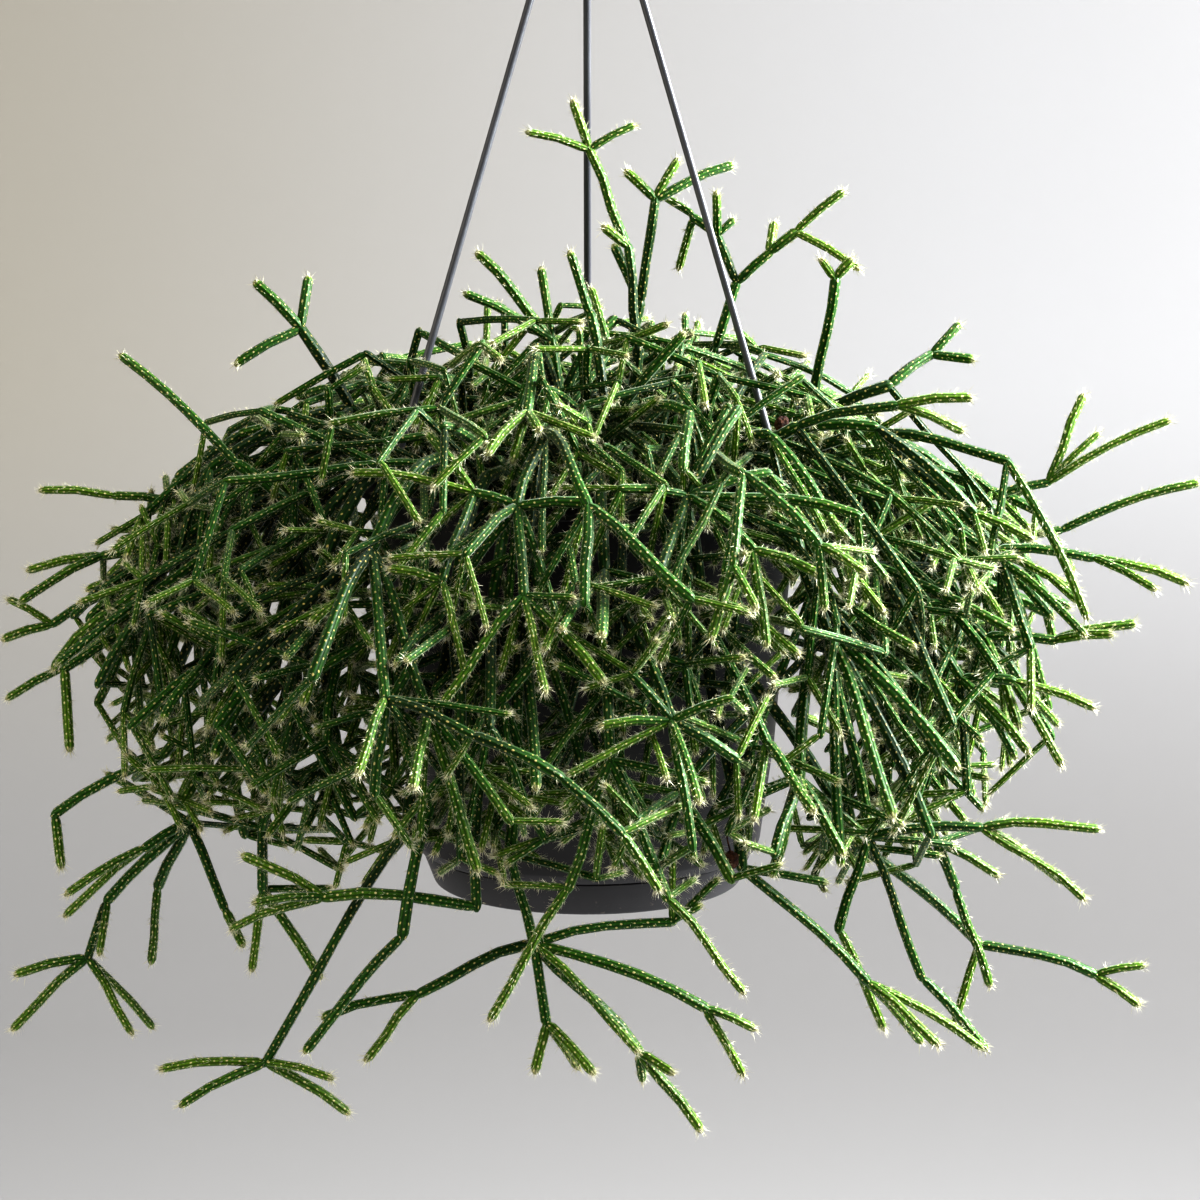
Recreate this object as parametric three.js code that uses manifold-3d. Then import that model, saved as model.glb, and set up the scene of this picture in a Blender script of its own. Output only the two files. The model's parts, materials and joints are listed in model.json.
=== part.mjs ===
// A hanging pot of hairy-stemmed rhipsalis: a plastic pot with a clip-on saucer, a three-legged hanger,
// soil, and about fifty branching stems that stand in it and spill over its rim.
import * as THREE from "three";
import { mergeVertices } from "three/addons/utils/BufferGeometryUtils.js";
import Module from "manifold-3d";

const wasm = await Module();
wasm.setup();

// Sizes in millimetres and angles in degrees. Heights are above the saucer's underside. The last step
// lowers everything so that the point where the hook bears on its support is the origin.
// The front of the plant faces -Y.
const GAP = 0.3;
const TURNED_SIDES = 24;

const WALL = 1.7;
const SAUCER_HEIGHT = 11.6;
const SAUCER_BASE_RADIUS = 54;
const SAUCER_RIM_RADIUS = 58.5;
const SAUCER_FLOOR = 1.8;
const SAUCER_LIP = 1.6;

const FOOT_RADIUS = 52;
const FOOT_BEAD = 1.6;
const SHOULDER_HEIGHT = 12;
const SHOULDER_RADIUS = 61;
const FLOOR_UNDERSIDE = 4;
const RIM_HEIGHT = 142;
const RIM_RADIUS = 82;
const RIM_THICKNESS = 2.2;
const MOUTH_RADIUS = 74;
const DRAIN_HOLES = 6;
const DRAIN_HOLE_RADIUS = 3.5;
const DRAIN_CIRCLE_RADIUS = 30;
const SOIL_HEIGHT = 130;

const APEX_HEIGHT = 372;
const LEG_SLOPE = 0.339;
const LEG_RADIUS = 1.3;
const LEG_HEAD_RADIUS = 2.5;
const LEG_HEAD_LENGTH = 2.4;
const LEG_AZIMUTHS = { back: 90, left: 210, right: 330 };

const HUB_RADIUS = 13;
const HUB_UNDERSIDE = 347;
const HUB_TOP = 353;
const HOOK_BEARING_HEIGHT = 391;
const HOOK_INNER_RADIUS = 12.5;
const HOOK_ROD_RADIUS = 2.5;

const STEM_SIDES = 4;
const SECTION_SWELL = 1.1;
const PINCH = 0.68;
const ROOT_DEPTH = 11;
const STEM_CLEARANCE = 5.3;
const SAMPLE_STEP = 3.5;
const JOINT_REACH = 10;
const CELL = 6;
const TRIES = 150;
const MAIN_TRIES = 400;
const MAIN_BOW = 0.08;
const BRANCH_BOW = 0.05;
const RIM_PASS = 12;
const ROOT_SPACING = 8;
const FIRST_SEED = 4153;

// The mound that the grown stems keep to. Its roof falls and its underside rises with the square of the
// distance from the pot's axis and from the rim. In front of the pot it ends higher. A main stem ends
// inside it, and the branches of each part end inside or outside it by an inset of the part's own.
const ROOF_HEIGHT = 194;
const ROOF_FALL = 0.0029;
const UNDERSIDE_HEIGHT = 22;
const UNDERSIDE_RISE = 0.0045;
const FRONT_UNDERSIDE_HEIGHT = 46;
const FRONT_HALF_WIDTH = 72;
const MAIN_INSET = 12;
const BRANCH_INSETS = [-16, 10];

// Branches grow partly away from a point on the axis, the mound's heart, so that they spread on all sides.
const HEART_HEIGHT = 160;
const HEART_PULL = 0.35;

// Levels of branching, from the stem that stands in the soil out to the last short one.
// A rule gives lengths, the radius at the root, straight spans, how many grow from its tip, and how far
// they turn away from it.
const LEVELS = [
  { shortest: 88, longest: 122, radius: 2.1, spans: 4, fewest: 2, most: 4, turn: 36 },
  { shortest: 46, longest: 74, radius: 1.95, spans: 2, fewest: 2, most: 3, turn: 38 },
  { shortest: 26, longest: 46, radius: 1.8, spans: 1, fewest: 1, most: 3, turn: 40 },
  { shortest: 15, longest: 30, radius: 1.65, spans: 1, fewest: 0, most: 0, turn: 0 },
];

// Stems that show singly at the outline. root is the azimuth and distance from the pot's axis where the
// stem stands in the soil. Each point is x, y, z and then the points that branch from it.
const SHOWN_STEMS = {
  tall_spire: {
    root: [62, 20],
    path: [18, 4, 189, [14, 5, 224, [0, 8, 257, [-21, 0, 262], [-5, 10, 273], [17, 12, 264]], [5, 0, 230]]],
  },
  back_spire: {
    root: [82, 40],
    path: [19, 22, 203, [24, 22, 239, [13, 22, 248], [32, 26, 252], [52, 34, 249]], [9, 24, 222]],
  },
  right_top: {
    root: [38, 44],
    path: [45, 20, 187, [53, 20, 210, [65, 20, 220, [74, 20, 227, [90, 20, 241], [95, 10, 214]],
      [66, 31, 229]], [45, 24, 226, [45, 20, 241], [52, 26, 231], [36, 26, 232, [27, 34, 238],
      [32, 30, 212]]]]],
  },
  right_upright: {
    root: [22, 42],
    path: [80, 14, 163, [86, 2, 213, [80, 0, 219], [92, 2, 219]]],
  },
  left_top_fork: {
    root: [186, 38],
    path: [-82, -10, 169, [-99, -10, 197, [-114, -10, 212], [-96, 0, 213], [-120, -20, 184]]],
  },
  left_spike: {
    root: [204, 36],
    path: [-100, -48, 139, [-118, -50, 155, [-158, -30, 189]]],
  },
  crown_fork: {
    root: [195, 18],
    path: [-9, -10, 171, [-12, -10, 193, [-38, -10, 222], [-42, -22, 209], [-16, 0, 216]]],
  },
  crown_front: {
    root: [285, 28],
    path: [8, -40, 168, [1, -30, 204, [-6, -30, 224]], [33, -44, 198], [33, -108, 151, [10, -118, 156],
      [50, -84, 178], [88, -112, 146], [60, -98, 158]]],
  },
  right_crown_tip: {
    root: [353, 25],
    path: [105, -14, 177, [120, 0, 186, [130, 5, 196], [134, -5, 184]]],
  },
  right_front_arm: {
    root: [320, 39],
    path: [70, -70, 170, [102, -80, 178, [126, -80, 180], [124, -72, 168]]],
  },
  right_middle_arm: {
    root: [344, 38],
    path: [98, -36, 163, [142, -50, 155]],
  },
  right_long_fork: {
    root: [4, 49],
    path: [98, 2, 146, [139, 0, 134, [162, 0, 141, [203, 0, 163], [174, 10, 171], [179, 5, 158]]]],
  },
  right_far_arm: {
    root: [24, 50],
    path: [100, 24, 132, [132, 20, 107, [169, 20, 121, [217, 20, 138]]]],
  },
  right_level_arm: {
    root: [349, 50],
    path: [102, -28, 140, [141, -30, 121, [174, -30, 119, [206, -30, 110], [193, -42, 110]]]],
  },
  right_low_arm: {
    root: [335, 52],
    path: [104, -48, 126, [134, -60, 96, [158, -60, 96, [184, -60, 102], [175, -70, 100]]]],
  },
  right_low_spray: {
    root: [332, 30],
    path: [96, -72, 122, [124, -80, 86, [142, -80, 86, [168, -80, 77], [156, -92, 60], [158, -64, 68]]]],
  },
  left_far_arm: {
    root: [176, 49],
    path: [-102, 2, 150, [-144, 0, 133, [-166, 0, 136, [-191, 0, 138]]]],
  },
  left_level_arm: {
    root: [196, 50],
    path: [-104, -20, 142, [-147, -20, 119, [-168, -20, 118, [-193, -20, 113], [-194, -31, 104]]]],
  },
  left_bent_arm: {
    root: [217, 40],
    path: [-95, -71, 126, [-155, -40, 95, [-179, -40, 82, [-198, -40, 72], [-175, -51, 56]]]],
  },
  left_outer_tip: {
    root: [164, 47],
    path: [-108, 14, 130, [-165, 10, 102, [-190, 10, 88, [-205, 10, 98], [-207, 10, 83]]]],
  },
  left_drop: {
    root: [225, 51],
    path: [-90, -90, 114, [-142, -70, 58, [-179, -70, 38, [-176, -70, 20]]]],
  },
  left_low_spray: {
    root: [236, 34],
    path: [-78, -104, 118, [-134, -66, 34, [-163, -62, 6, [-170, -60, -15, [-196, -60, -39],
      [-195, -58, -20], [-153, -72, -37], [-149, -48, -42]], [-164, -70, -10]], [-149, -72, 27,
      [-174, -78, 13], [-176, -68, 3]], [-146, -56, 9, [-149, -52, -18]], [-121, -70, 5, [-115, -74, -6]]],
      [-107, -92, 38, [-107, -88, 16, [-111, -90, -10], [-88, -88, -13]]]],
  },
  front_left_long: {
    root: [248, 48],
    path: [-42, -120, 120, [-56, -150, 52, [-102, -150, -24, [-135, -150, -25], [-128, -157, -35],
      [-79, -160, -25], [-75, -146, -41]]]],
  },
  front_left_arm: {
    root: [257, 34],
    path: [-30, -114, 118, [-34, -156, 28, [-83, -158, 33, [-107, -158, 47], [-103, -168, 34],
      [-112, -148, 20]]], [-57, -164, 21, [-88, -162, -16]]],
  },
  front_low_spray: {
    root: [264, 50],
    path: [-20, -116, 112, [-24, -144, 42, [-16, -148, 14, [39, -152, -5, [54, -150, -12], [50, -148, -28]],
      [18, -146, -22, [28, -152, -26], [18, -140, -32], [37, -146, -47]], [-12, -154, -10,
      [-16, -158, -24], [-2, -150, -25], [3, -162, -23]], [-54, -146, -2, [-84, -141, -11],
      [-70, -148, -23]], [29, -138, 20, [37, -138, 26]], [17, -162, -16]]]],
  },
  front_right_arm: {
    root: [289, 50],
    path: [38, -112, 112, [50, -122, 32, [92, -120, -6, [129, -118, -28], [114, -128, -24],
      [110, -108, -29]]]],
  },
  right_hanging_arm: {
    root: [312, 50],
    path: [74, -94, 118, [90, -84, 30, [134, -62, -9, [174, -60, -20, [190, -60, -16], [188, -62, -30]],
      [124, -70, -34]]], [117, -78, 30, [124, -72, 13, [136, -70, -21]], [138, -76, 19]]],
  },
  right_low_fan: {
    root: [299, 36],
    path: [78, -112, 108, [92, -104, 38, [130, -102, 42, [168, -100, 41], [163, -104, 18], [158, -88, 20]],
      [82, -108, 8, [98, -104, -26]], [111, -98, -11, [133, -94, -36]]]],
  },
  front_left_drop: {
    root: [238, 46],
    path: [-68, -124, 136, [-48, -162, 92, [-33, -170, 44]], [-61, -168, 97, [-33, -176, 88, [-6, -178, 75,
      [12, -180, 58, [23, -178, 40]]]]]],
  },
  front_middle_drop: {
    root: [272, 38],
    path: [6, -118, 128, [8, -160, 76, [26, -160, 32, [50, -158, 2]], [-6, -164, 36, [-30, -168, -4]]],
      [27, -158, 88, [4, -166, 89], [13, -156, 105], [46, -160, 97], [48, -152, 75]]],
  },
  front_crown_fork: {
    root: [276, 15],
    path: [-14, -84, 170, [-22, -118, 149, [2, -124, 152], [-19, -150, 126, [-44, -165, 96],
      [-12, -170, 100], [6, -164, 102]], [-37, -112, 154, [-51, -98, 171], [-75, -112, 160],
      [-45, -140, 129, [-62, -136, 133], [-37, -152, 102]]]]],
  },
};

// The other stems grow by a rule. Those of the back stand in an arc behind the axis and trail over the
// rim, two at the front hang before the pot, and those of the crown stand round the axis and stay short.
const FRONT_AZIMUTHS = [255, 296];
const BACK_STEMS = 12;
const BACK_FROM = 28;
const BACK_TO = 166;
const CROWN_STEMS = 6;
const GOLDEN_ANGLE = 137.508;
const SOIL_REACH = 58;
const SHOWN_EXTRAS = 6;
const BACK_EXTRAS = 14;
const CROWN_EXTRAS = 9;

// Dried flowers that still cling to the stems: the plant part, which of its stems, how far along it, and
// the side of the stem that the flower is on.
const DRIED_FLOWERS = {
  dried_flower_low: { on: "front_right_arm", stem: 1, share: 0.94, side: [-1, -1.2, 0] },
  dried_flower_middle: { on: "front_right_arm", stem: 1, share: 0.6, side: [1, -0.1, 0] },
  dried_flower_high: { on: "right_front_arm", stem: 0, share: 0.87, side: [0, 0.8, 1] },
};
const DRIED_FLOWER_RADIUS = 2.6;
const FLOWER_SEAT = 0.87;

const PLASTIC = { color: 0x262529, roughness: 0.55, metalness: 0 };
const WIRE_PLASTIC = { color: 0x4b4e55, roughness: 0.45, metalness: 0 };
const PEAT = { color: 0x2b1f17, roughness: 0.95, metalness: 0 };
const STEM_GREEN = { color: 0x3f6b2b, roughness: 0.7, metalness: 0 };
const DRIED_BROWN = { color: 0x4a1f12, roughness: 0.9, metalness: 0 };

// Small vector steps, on plain lists of three numbers.
const add = (a, b) => [a[0] + b[0], a[1] + b[1], a[2] + b[2]];
const minus = (a, b) => [a[0] - b[0], a[1] - b[1], a[2] - b[2]];
const times = (a, k) => [a[0] * k, a[1] * k, a[2] * k];
const dot = (a, b) => a[0] * b[0] + a[1] * b[1] + a[2] * b[2];
const cross = (a, b) => [
  a[1] * b[2] - a[2] * b[1],
  a[2] * b[0] - a[0] * b[2],
  a[0] * b[1] - a[1] * b[0],
];
const size = (a) => Math.sqrt(dot(a, a));
const unit = (a) => times(a, 1 / size(a));
const radians = (degrees) => (degrees * Math.PI) / 180;
const around = (azimuth, radius, height) => [
  radius * Math.cos(radians(azimuth)),
  radius * Math.sin(radians(azimuth)),
  height,
];

// A repeatable stream of draws between a lowest and a highest value.
function drawsFrom(seed) {
  let state = seed >>> 0;
  return (lowest, highest) => {
    state = (Math.imul(state, 1664525) + 1013904223) >>> 0;
    return lowest + ((highest - lowest) * state) / 4294967296;
  };
}

// Solids

function solidFrom(geometry) {
  const bare = geometry.clone();
  bare.deleteAttribute("normal");
  bare.deleteAttribute("uv");
  const merged = mergeVertices(bare, 1e-4);
  return new wasm.Manifold(
    new wasm.Mesh({
      numProp: 3,
      vertProperties: new Float32Array(merged.attributes.position.array),
      triVerts: new Uint32Array(merged.index.array),
    }),
  );
}

function geometryFrom(solid) {
  const mesh = solid.getMesh();
  const geometry = new THREE.BufferGeometry();
  geometry.setAttribute("position", new THREE.BufferAttribute(new Float32Array(mesh.vertProperties), 3));
  geometry.setIndex(new THREE.BufferAttribute(new Uint32Array(mesh.triVerts), 1));
  geometry.computeVertexNormals();
  return geometry;
}

// Turns a closed profile of [radius, height] points, given counter-clockwise, round the upright axis.
function turned(profile, sides = TURNED_SIDES) {
  const points = profile.map(([radius, height]) => new THREE.Vector2(radius, height));
  const lathe = new THREE.LatheGeometry(points, sides);
  lathe.rotateX(Math.PI / 2);
  return solidFrom(lathe);
}

// A round rod of one radius along a curve, closed at both ends.
function rod(curve, radius, steps, sides) {
  const section = new THREE.Shape();
  for (let i = 0; i < sides; i += 1) {
    const angle = (2 * Math.PI * i) / sides;
    const corner = [radius * Math.cos(angle), radius * Math.sin(angle)];
    if (i === 0) section.moveTo(...corner);
    else section.lineTo(...corner);
  }
  section.closePath();
  return solidFrom(new THREE.ExtrudeGeometry(section, { steps, extrudePath: curve, bevelEnabled: false }));
}

function straightRod(start, end, radius, sides) {
  const line = new THREE.LineCurve3(new THREE.Vector3(...start), new THREE.Vector3(...end));
  return rod(line, radius, 1, sides);
}

// Pot and saucer

// The pot's outer radius at a height, which its inner wall, the soil and the stems follow.
const POT_SIDE = [
  [SHOULDER_RADIUS, 15],
  [65.8, 50],
  [69.7, 97],
  [MOUTH_RADIUS, RIM_HEIGHT],
];

function potRadius(height) {
  for (let i = 1; i < POT_SIDE.length; i += 1) {
    const [lowRadius, low] = POT_SIDE[i - 1];
    const [highRadius, high] = POT_SIDE[i];
    if (height <= high) {
      const share = Math.max(0, (height - low) / (high - low));
      return lowRadius + share * (highRadius - lowRadius);
    }
  }
  return MOUTH_RADIUS;
}

function saucerSolid() {
  const inner = (height) => {
    const share = height / SAUCER_HEIGHT;
    return SAUCER_BASE_RADIUS + share * (SAUCER_RIM_RADIUS - SAUCER_BASE_RADIUS) - WALL;
  };
  const lipUnderside = SAUCER_HEIGHT - SAUCER_LIP;
  return turned([
    [0, 0],
    [SAUCER_BASE_RADIUS - 1, 0],
    [SAUCER_BASE_RADIUS, 1],
    [SAUCER_RIM_RADIUS, SAUCER_HEIGHT - 0.6],
    [SAUCER_RIM_RADIUS - 0.6, SAUCER_HEIGHT],
    [FOOT_RADIUS + GAP, SAUCER_HEIGHT],
    [FOOT_RADIUS + GAP, lipUnderside],
    [inner(lipUnderside), lipUnderside],
    [inner(SAUCER_FLOOR), SAUCER_FLOOR],
    [0, SAUCER_FLOOR],
  ]);
}

function potSolid() {
  const beadTop = SAUCER_HEIGHT - SAUCER_LIP - GAP;
  const floorTop = FLOOR_UNDERSIDE + WALL;
  const flangeUnderside = RIM_HEIGHT - RIM_THICKNESS;
  const inside = (height) => [potRadius(height) - WALL, height];
  const body = turned([
    [0, FLOOR_UNDERSIDE],
    [FOOT_RADIUS - 4, FLOOR_UNDERSIDE],
    [FOOT_RADIUS - 4, SAUCER_FLOOR + GAP],
    [FOOT_RADIUS, SAUCER_FLOOR + GAP],
    [FOOT_RADIUS, beadTop - FOOT_BEAD],
    [FOOT_RADIUS + FOOT_BEAD, beadTop - 0.8],
    [FOOT_RADIUS + FOOT_BEAD, beadTop],
    [FOOT_RADIUS, beadTop],
    [FOOT_RADIUS, SHOULDER_HEIGHT],
    [SHOULDER_RADIUS - 1.4, SHOULDER_HEIGHT],
    ...POT_SIDE.slice(0, -1),
    [potRadius(flangeUnderside), flangeUnderside],
    [RIM_RADIUS - 0.8, flangeUnderside],
    [RIM_RADIUS, flangeUnderside + 0.8],
    [RIM_RADIUS, RIM_HEIGHT - 0.8],
    [RIM_RADIUS - 0.8, RIM_HEIGHT],
    inside(RIM_HEIGHT),
    inside(97),
    inside(50),
    inside(SHOULDER_HEIGHT + WALL),
    [FOOT_RADIUS - WALL, SHOULDER_HEIGHT + WALL],
    [FOOT_RADIUS - WALL, floorTop],
    [0, floorTop],
  ]);
  const holes = [];
  for (let i = 0; i < DRAIN_HOLES; i += 1) {
    const [x, y] = around((360 * i) / DRAIN_HOLES, DRAIN_CIRCLE_RADIUS, 0);
    holes.push(straightRod([x, y, 0], [x, y, floorTop + 4], DRAIN_HOLE_RADIUS, 12));
  }
  for (const azimuth of Object.values(LEG_AZIMUTHS)) {
    holes.push(straightRod(legPoint(azimuth, 130), legPoint(azimuth, 150), LEG_RADIUS + GAP, 12));
  }
  return holes.reduce((pot, hole) => pot.subtract(hole), body);
}

function soilSolid(roots) {
  const inside = (height) => [potRadius(height) - WALL - GAP, height];
  const shoulderTop = SHOULDER_HEIGHT + WALL + GAP;
  const footRadius = FOOT_RADIUS - WALL - GAP;
  const floorTop = FLOOR_UNDERSIDE + WALL + GAP;
  const block = turned([
    [0, floorTop],
    [footRadius, floorTop],
    [footRadius, shoulderTop],
    inside(shoulderTop),
    inside(50),
    inside(97),
    inside(SOIL_HEIGHT),
    [0, SOIL_HEIGHT],
  ]);
  const holeRadius = (LEVELS[0].radius + 1.5 * GAP) * SECTION_SWELL;
  return roots.reduce((soil, [start, towards]) => {
    const heading = unit(minus(towards, start));
    const bottom = minus(start, times(heading, 1));
    const top = add(start, times(heading, 2.4 * ROOT_DEPTH));
    return soil.subtract(tube([bottom, top], [holeRadius, holeRadius]));
  }, block);
}

// Hanger

// A point on a leg's axis. The three axes meet above the hub.
function legPoint(azimuth, height) {
  return around(azimuth, (APEX_HEIGHT - height) * LEG_SLOPE, height);
}

function legSolid(azimuth) {
  const slant = Math.sqrt(1 + LEG_SLOPE * LEG_SLOPE);
  const tilt = LEG_HEAD_RADIUS * LEG_SLOPE;
  const lowHeadTop = RIM_HEIGHT - RIM_THICKNESS - GAP - tilt;
  const lowHeadBottom = lowHeadTop - LEG_HEAD_LENGTH / slant;
  const highHeadBottom = HUB_TOP + GAP + tilt;
  const highHeadTop = highHeadBottom + LEG_HEAD_LENGTH / slant;
  const sides = 8;
  const between = (low, high, radius) => {
    return straightRod(legPoint(azimuth, low), legPoint(azimuth, high), radius, sides);
  };
  return between(lowHeadTop - 1, highHeadBottom + 1, LEG_RADIUS)
    .add(between(lowHeadBottom, lowHeadTop, LEG_HEAD_RADIUS))
    .add(between(highHeadBottom, highHeadTop, LEG_HEAD_RADIUS));
}

function hookSolid() {
  const hub = turned([
    [0, HUB_UNDERSIDE],
    [HUB_RADIUS - 1.5, HUB_UNDERSIDE],
    [HUB_RADIUS, HUB_UNDERSIDE + 1.5],
    [HUB_RADIUS, HUB_TOP - 1.5],
    [HUB_RADIUS - 1.5, HUB_TOP],
    [0, HUB_TOP],
  ], 20);
  const bend = HOOK_INNER_RADIUS + HOOK_ROD_RADIUS;
  const centre = HOOK_BEARING_HEIGHT - HOOK_INNER_RADIUS;
  const onBend = (angle) => new THREE.Vector3(
    bend * Math.cos(radians(angle)),
    0,
    centre + bend * Math.sin(radians(angle)),
  );
  const shank = [
    new THREE.Vector3(0, 0, HUB_TOP - 3),
    new THREE.Vector3(0, 0, HUB_TOP + 4),
    new THREE.Vector3(bend * 0.36, 0, centre - bend * 0.95),
  ];
  const bendAngles = [-40, 0, 30, 60, 90, 120, 150, 180, 205];
  const line = new THREE.CatmullRomCurve3([...shank, ...bendAngles.map(onBend)]);
  const ball = new THREE.SphereGeometry(HOOK_ROD_RADIUS + 0.6, 8, 5).translate(...onBend(205).toArray());
  let hook = hub.add(rod(line, HOOK_ROD_RADIUS, 24, 8)).add(solidFrom(ball));
  for (const azimuth of Object.values(LEG_AZIMUTHS)) {
    const hole = straightRod(
      legPoint(azimuth, HUB_UNDERSIDE - 3), legPoint(azimuth, HUB_TOP + 3), LEG_RADIUS + GAP, 10,
    );
    hook = hook.subtract(hole);
  }
  return hook;
}

// Stems

// The points of a stem: it bows upward by bow at its middle, in straight spans of equal share.
function stemLine(stem) {
  const { start, end, bow, spans } = stem;
  const points = [];
  for (let i = 0; i <= spans; i += 1) {
    const t = i / spans;
    const straight = add(start, times(minus(end, start), t));
    points.push(add(straight, [0, 0, bow * 4 * t * (1 - t)]));
  }
  return points;
}

// Points along a stem's line, no further apart than SAMPLE_STEP.
function samplesOf(stem) {
  const line = stemLine(stem);
  const samples = [line[0]];
  for (let i = 1; i < line.length; i += 1) {
    const span = minus(line[i], line[i - 1]);
    const steps = Math.ceil(size(span) / SAMPLE_STEP);
    for (let k = 1; k <= steps; k += 1) {
      samples.push(add(line[i - 1], times(span, k / steps)));
    }
  }
  return samples;
}

// The direction in which a stem leaves its end.
function endHeading(stem) {
  return unit(add(minus(stem.end, stem.start), [0, 0, -4 * stem.bow]));
}

// Which cells of space hold which stems' samples.
const cells = new Map();
const cellOf = (point) => point.map((value) => Math.floor(value / CELL));

function occupyPoint(point, plantPart) {
  const name = cellOf(point).join();
  if (!cells.has(name)) cells.set(name, []);
  cells.get(name).push({ point, plantPart });
}

function occupy(stem, plantPart) {
  samplesOf(stem).forEach((point) => occupyPoint(point, plantPart));
}

// True where a stem through this point would touch the pot, saucer, soil or a leg of the hanger.
function meetsPot(point) {
  const [x, y, z] = point;
  const reach = Math.sqrt(x * x + y * y);
  const margin = LEVELS[0].radius + 2 * GAP;
  for (const azimuth of Object.values(LEG_AZIMUTHS)) {
    const onLeg = legPoint(azimuth, z);
    if (size(minus(point, onLeg)) < LEG_RADIUS + margin + 0.6) return true;
  }
  if (z > RIM_HEIGHT + margin) return false;
  if (reach > RIM_RADIUS + margin) return false;
  if (z > SOIL_HEIGHT + margin && reach < MOUTH_RADIUS - WALL - margin - 1) return false;
  return z > -margin;
}

// True for the stretch of a main stem that stands in the soil.
function isRooted(stem, point) {
  const [x, y, z] = point;
  const reach = Math.sqrt(x * x + y * y);
  return stem.level === 0 && z < SOIL_HEIGHT + 6 && reach < SOIL_REACH + 8;
}

function isClear(stem, plantPart) {
  const samples = samplesOf(stem);
  for (const point of samples) {
    if (!isRooted(stem, point) && meetsPot(point)) return false;
    const nearStart = size(minus(point, stem.start)) < JOINT_REACH;
    const [i, j, k] = cellOf(point);
    for (let a = i - 1; a <= i + 1; a += 1) {
      for (let b = j - 1; b <= j + 1; b += 1) {
        for (let c = k - 1; c <= k + 1; c += 1) {
          for (const other of cells.get([a, b, c].join()) ?? []) {
            const own = other.plantPart === plantPart;
            if (own && (nearStart || size(minus(other.point, stem.start)) < JOINT_REACH)) continue;
            if (size(minus(point, other.point)) < STEM_CLEARANCE) return false;
          }
        }
      }
    }
  }
  return true;
}

// True inside the mound that the grown stems keep to, or further inside it by an inset.
function mayReach(point, inset = 0) {
  const [x, y, z] = point;
  const reach = Math.sqrt(x * x + y * y);
  const beyondRim = Math.max(0, reach - RIM_RADIUS);
  if (z > ROOF_HEIGHT - ROOF_FALL * reach * reach - inset) return false;
  if (z < UNDERSIDE_HEIGHT + UNDERSIDE_RISE * beyondRim * beyondRim + inset) return false;
  return !(Math.abs(x) < FRONT_HALF_WIDTH && y < 0 && z < FRONT_UNDERSIDE_HEIGHT + inset);
}

// A direction turned away from a heading, at an angle round it.
function turnedFrom(heading, turn, spin) {
  const upright = Math.abs(heading[2]) > 0.95;
  const side = unit(cross(heading, upright ? [1, 0, 0] : [0, 0, 1]));
  const over = cross(side, heading);
  const outward = add(times(side, Math.cos(radians(spin))), times(over, Math.sin(radians(spin))));
  return unit(add(times(heading, Math.cos(radians(turn))), times(outward, Math.sin(radians(turn)))));
}

// A stem from a point in a direction, which droops by a share of its length.
function droopingStem(start, heading, length, droop, level) {
  const end = add(add(start, times(heading, length)), [0, 0, -droop * length]);
  return { start, end, bow: (droop * length) / 4, level, spans: LEVELS[level].spans };
}

// Adds branches to the tips of a plant part until it holds the wanted number of stems. Each part keeps
// to the mound with an inset of its own, so that the mound's surface is uneven.
function branchOut(stems, tips, plantPart, wanted, mostDroop, draw) {
  const queue = [...tips];
  const inset = draw(...BRANCH_INSETS);
  while (queue.length > 0 && stems.length < wanted) {
    const parent = queue.shift();
    const level = Math.min(parent.level + 1, LEVELS.length - 1);
    const rule = LEVELS[Math.min(parent.level, LEVELS.length - 1)];
    const count = Math.floor(draw(rule.fewest, rule.most + 0.999));
    const spin = draw(0, 360);
    const outward = unit(minus(parent.end, [0, 0, HEART_HEIGHT]));
    for (let i = 0; i < count && stems.length < wanted; i += 1) {
      for (let attempt = 0; attempt < TRIES; attempt += 1) {
        const { shortest, longest } = LEVELS[level];
        const turn = rule.turn * draw(0.6, 1.4);
        const turned = turnedFrom(endHeading(parent), turn, spin + (360 * i) / count + draw(-25, 25));
        const heading = unit(add(turned, times(outward, HEART_PULL)));
        const length = draw(shortest, longest);
        const droop = draw(0.02, mostDroop);
        const stem = droopingStem(parent.end, heading, length, droop, level);
        if (mayReach(stem.end, inset) && isClear(stem, plantPart)) {
          occupy(stem, plantPart);
          stem.parent = parent;
          stems.push(stem);
          queue.push(stem);
          break;
        }
      }
    }
  }
}

// How much a main stem bows to pass over the pot's rim.
function bowOverRim(start, end) {
  const from = Math.sqrt(start[0] * start[0] + start[1] * start[1]);
  const to = Math.sqrt(end[0] * end[0] + end[1] * end[1]);
  const least = MAIN_BOW * Math.abs(to - from);
  if (to < RIM_RADIUS) return least;
  const t = (RIM_RADIUS - 4 - from) / (to - from);
  const straight = start[2] + t * (end[2] - start[2]);
  return Math.max(least, (RIM_HEIGHT + RIM_PASS - straight) / (4 * t * (1 - t)));
}

// The stems of one shown plant part, read from its nested points.
function shownStems(root, path) {
  const stems = [];
  const start = around(...root, SOIL_HEIGHT - ROOT_DEPTH);
  const visit = (from, [x, y, z, ...branches], depth, parent) => {
    const end = [x, y, z];
    const level = Math.min(depth, branches.length > 0 ? LEVELS.length - 2 : LEVELS.length - 1);
    const run = minus(end, from);
    const reach = Math.sqrt(run[0] * run[0] + run[1] * run[1]);
    const bow = depth === 0 ? bowOverRim(from, end) : BRANCH_BOW * reach;
    const stem = { start: from, end, bow, level, spans: LEVELS[level].spans, parent };
    stems.push(stem);
    branches.forEach((branch) => visit(end, branch, depth + 1, stem));
  };
  visit(start, path, 0, null);
  return stems;
}

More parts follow.
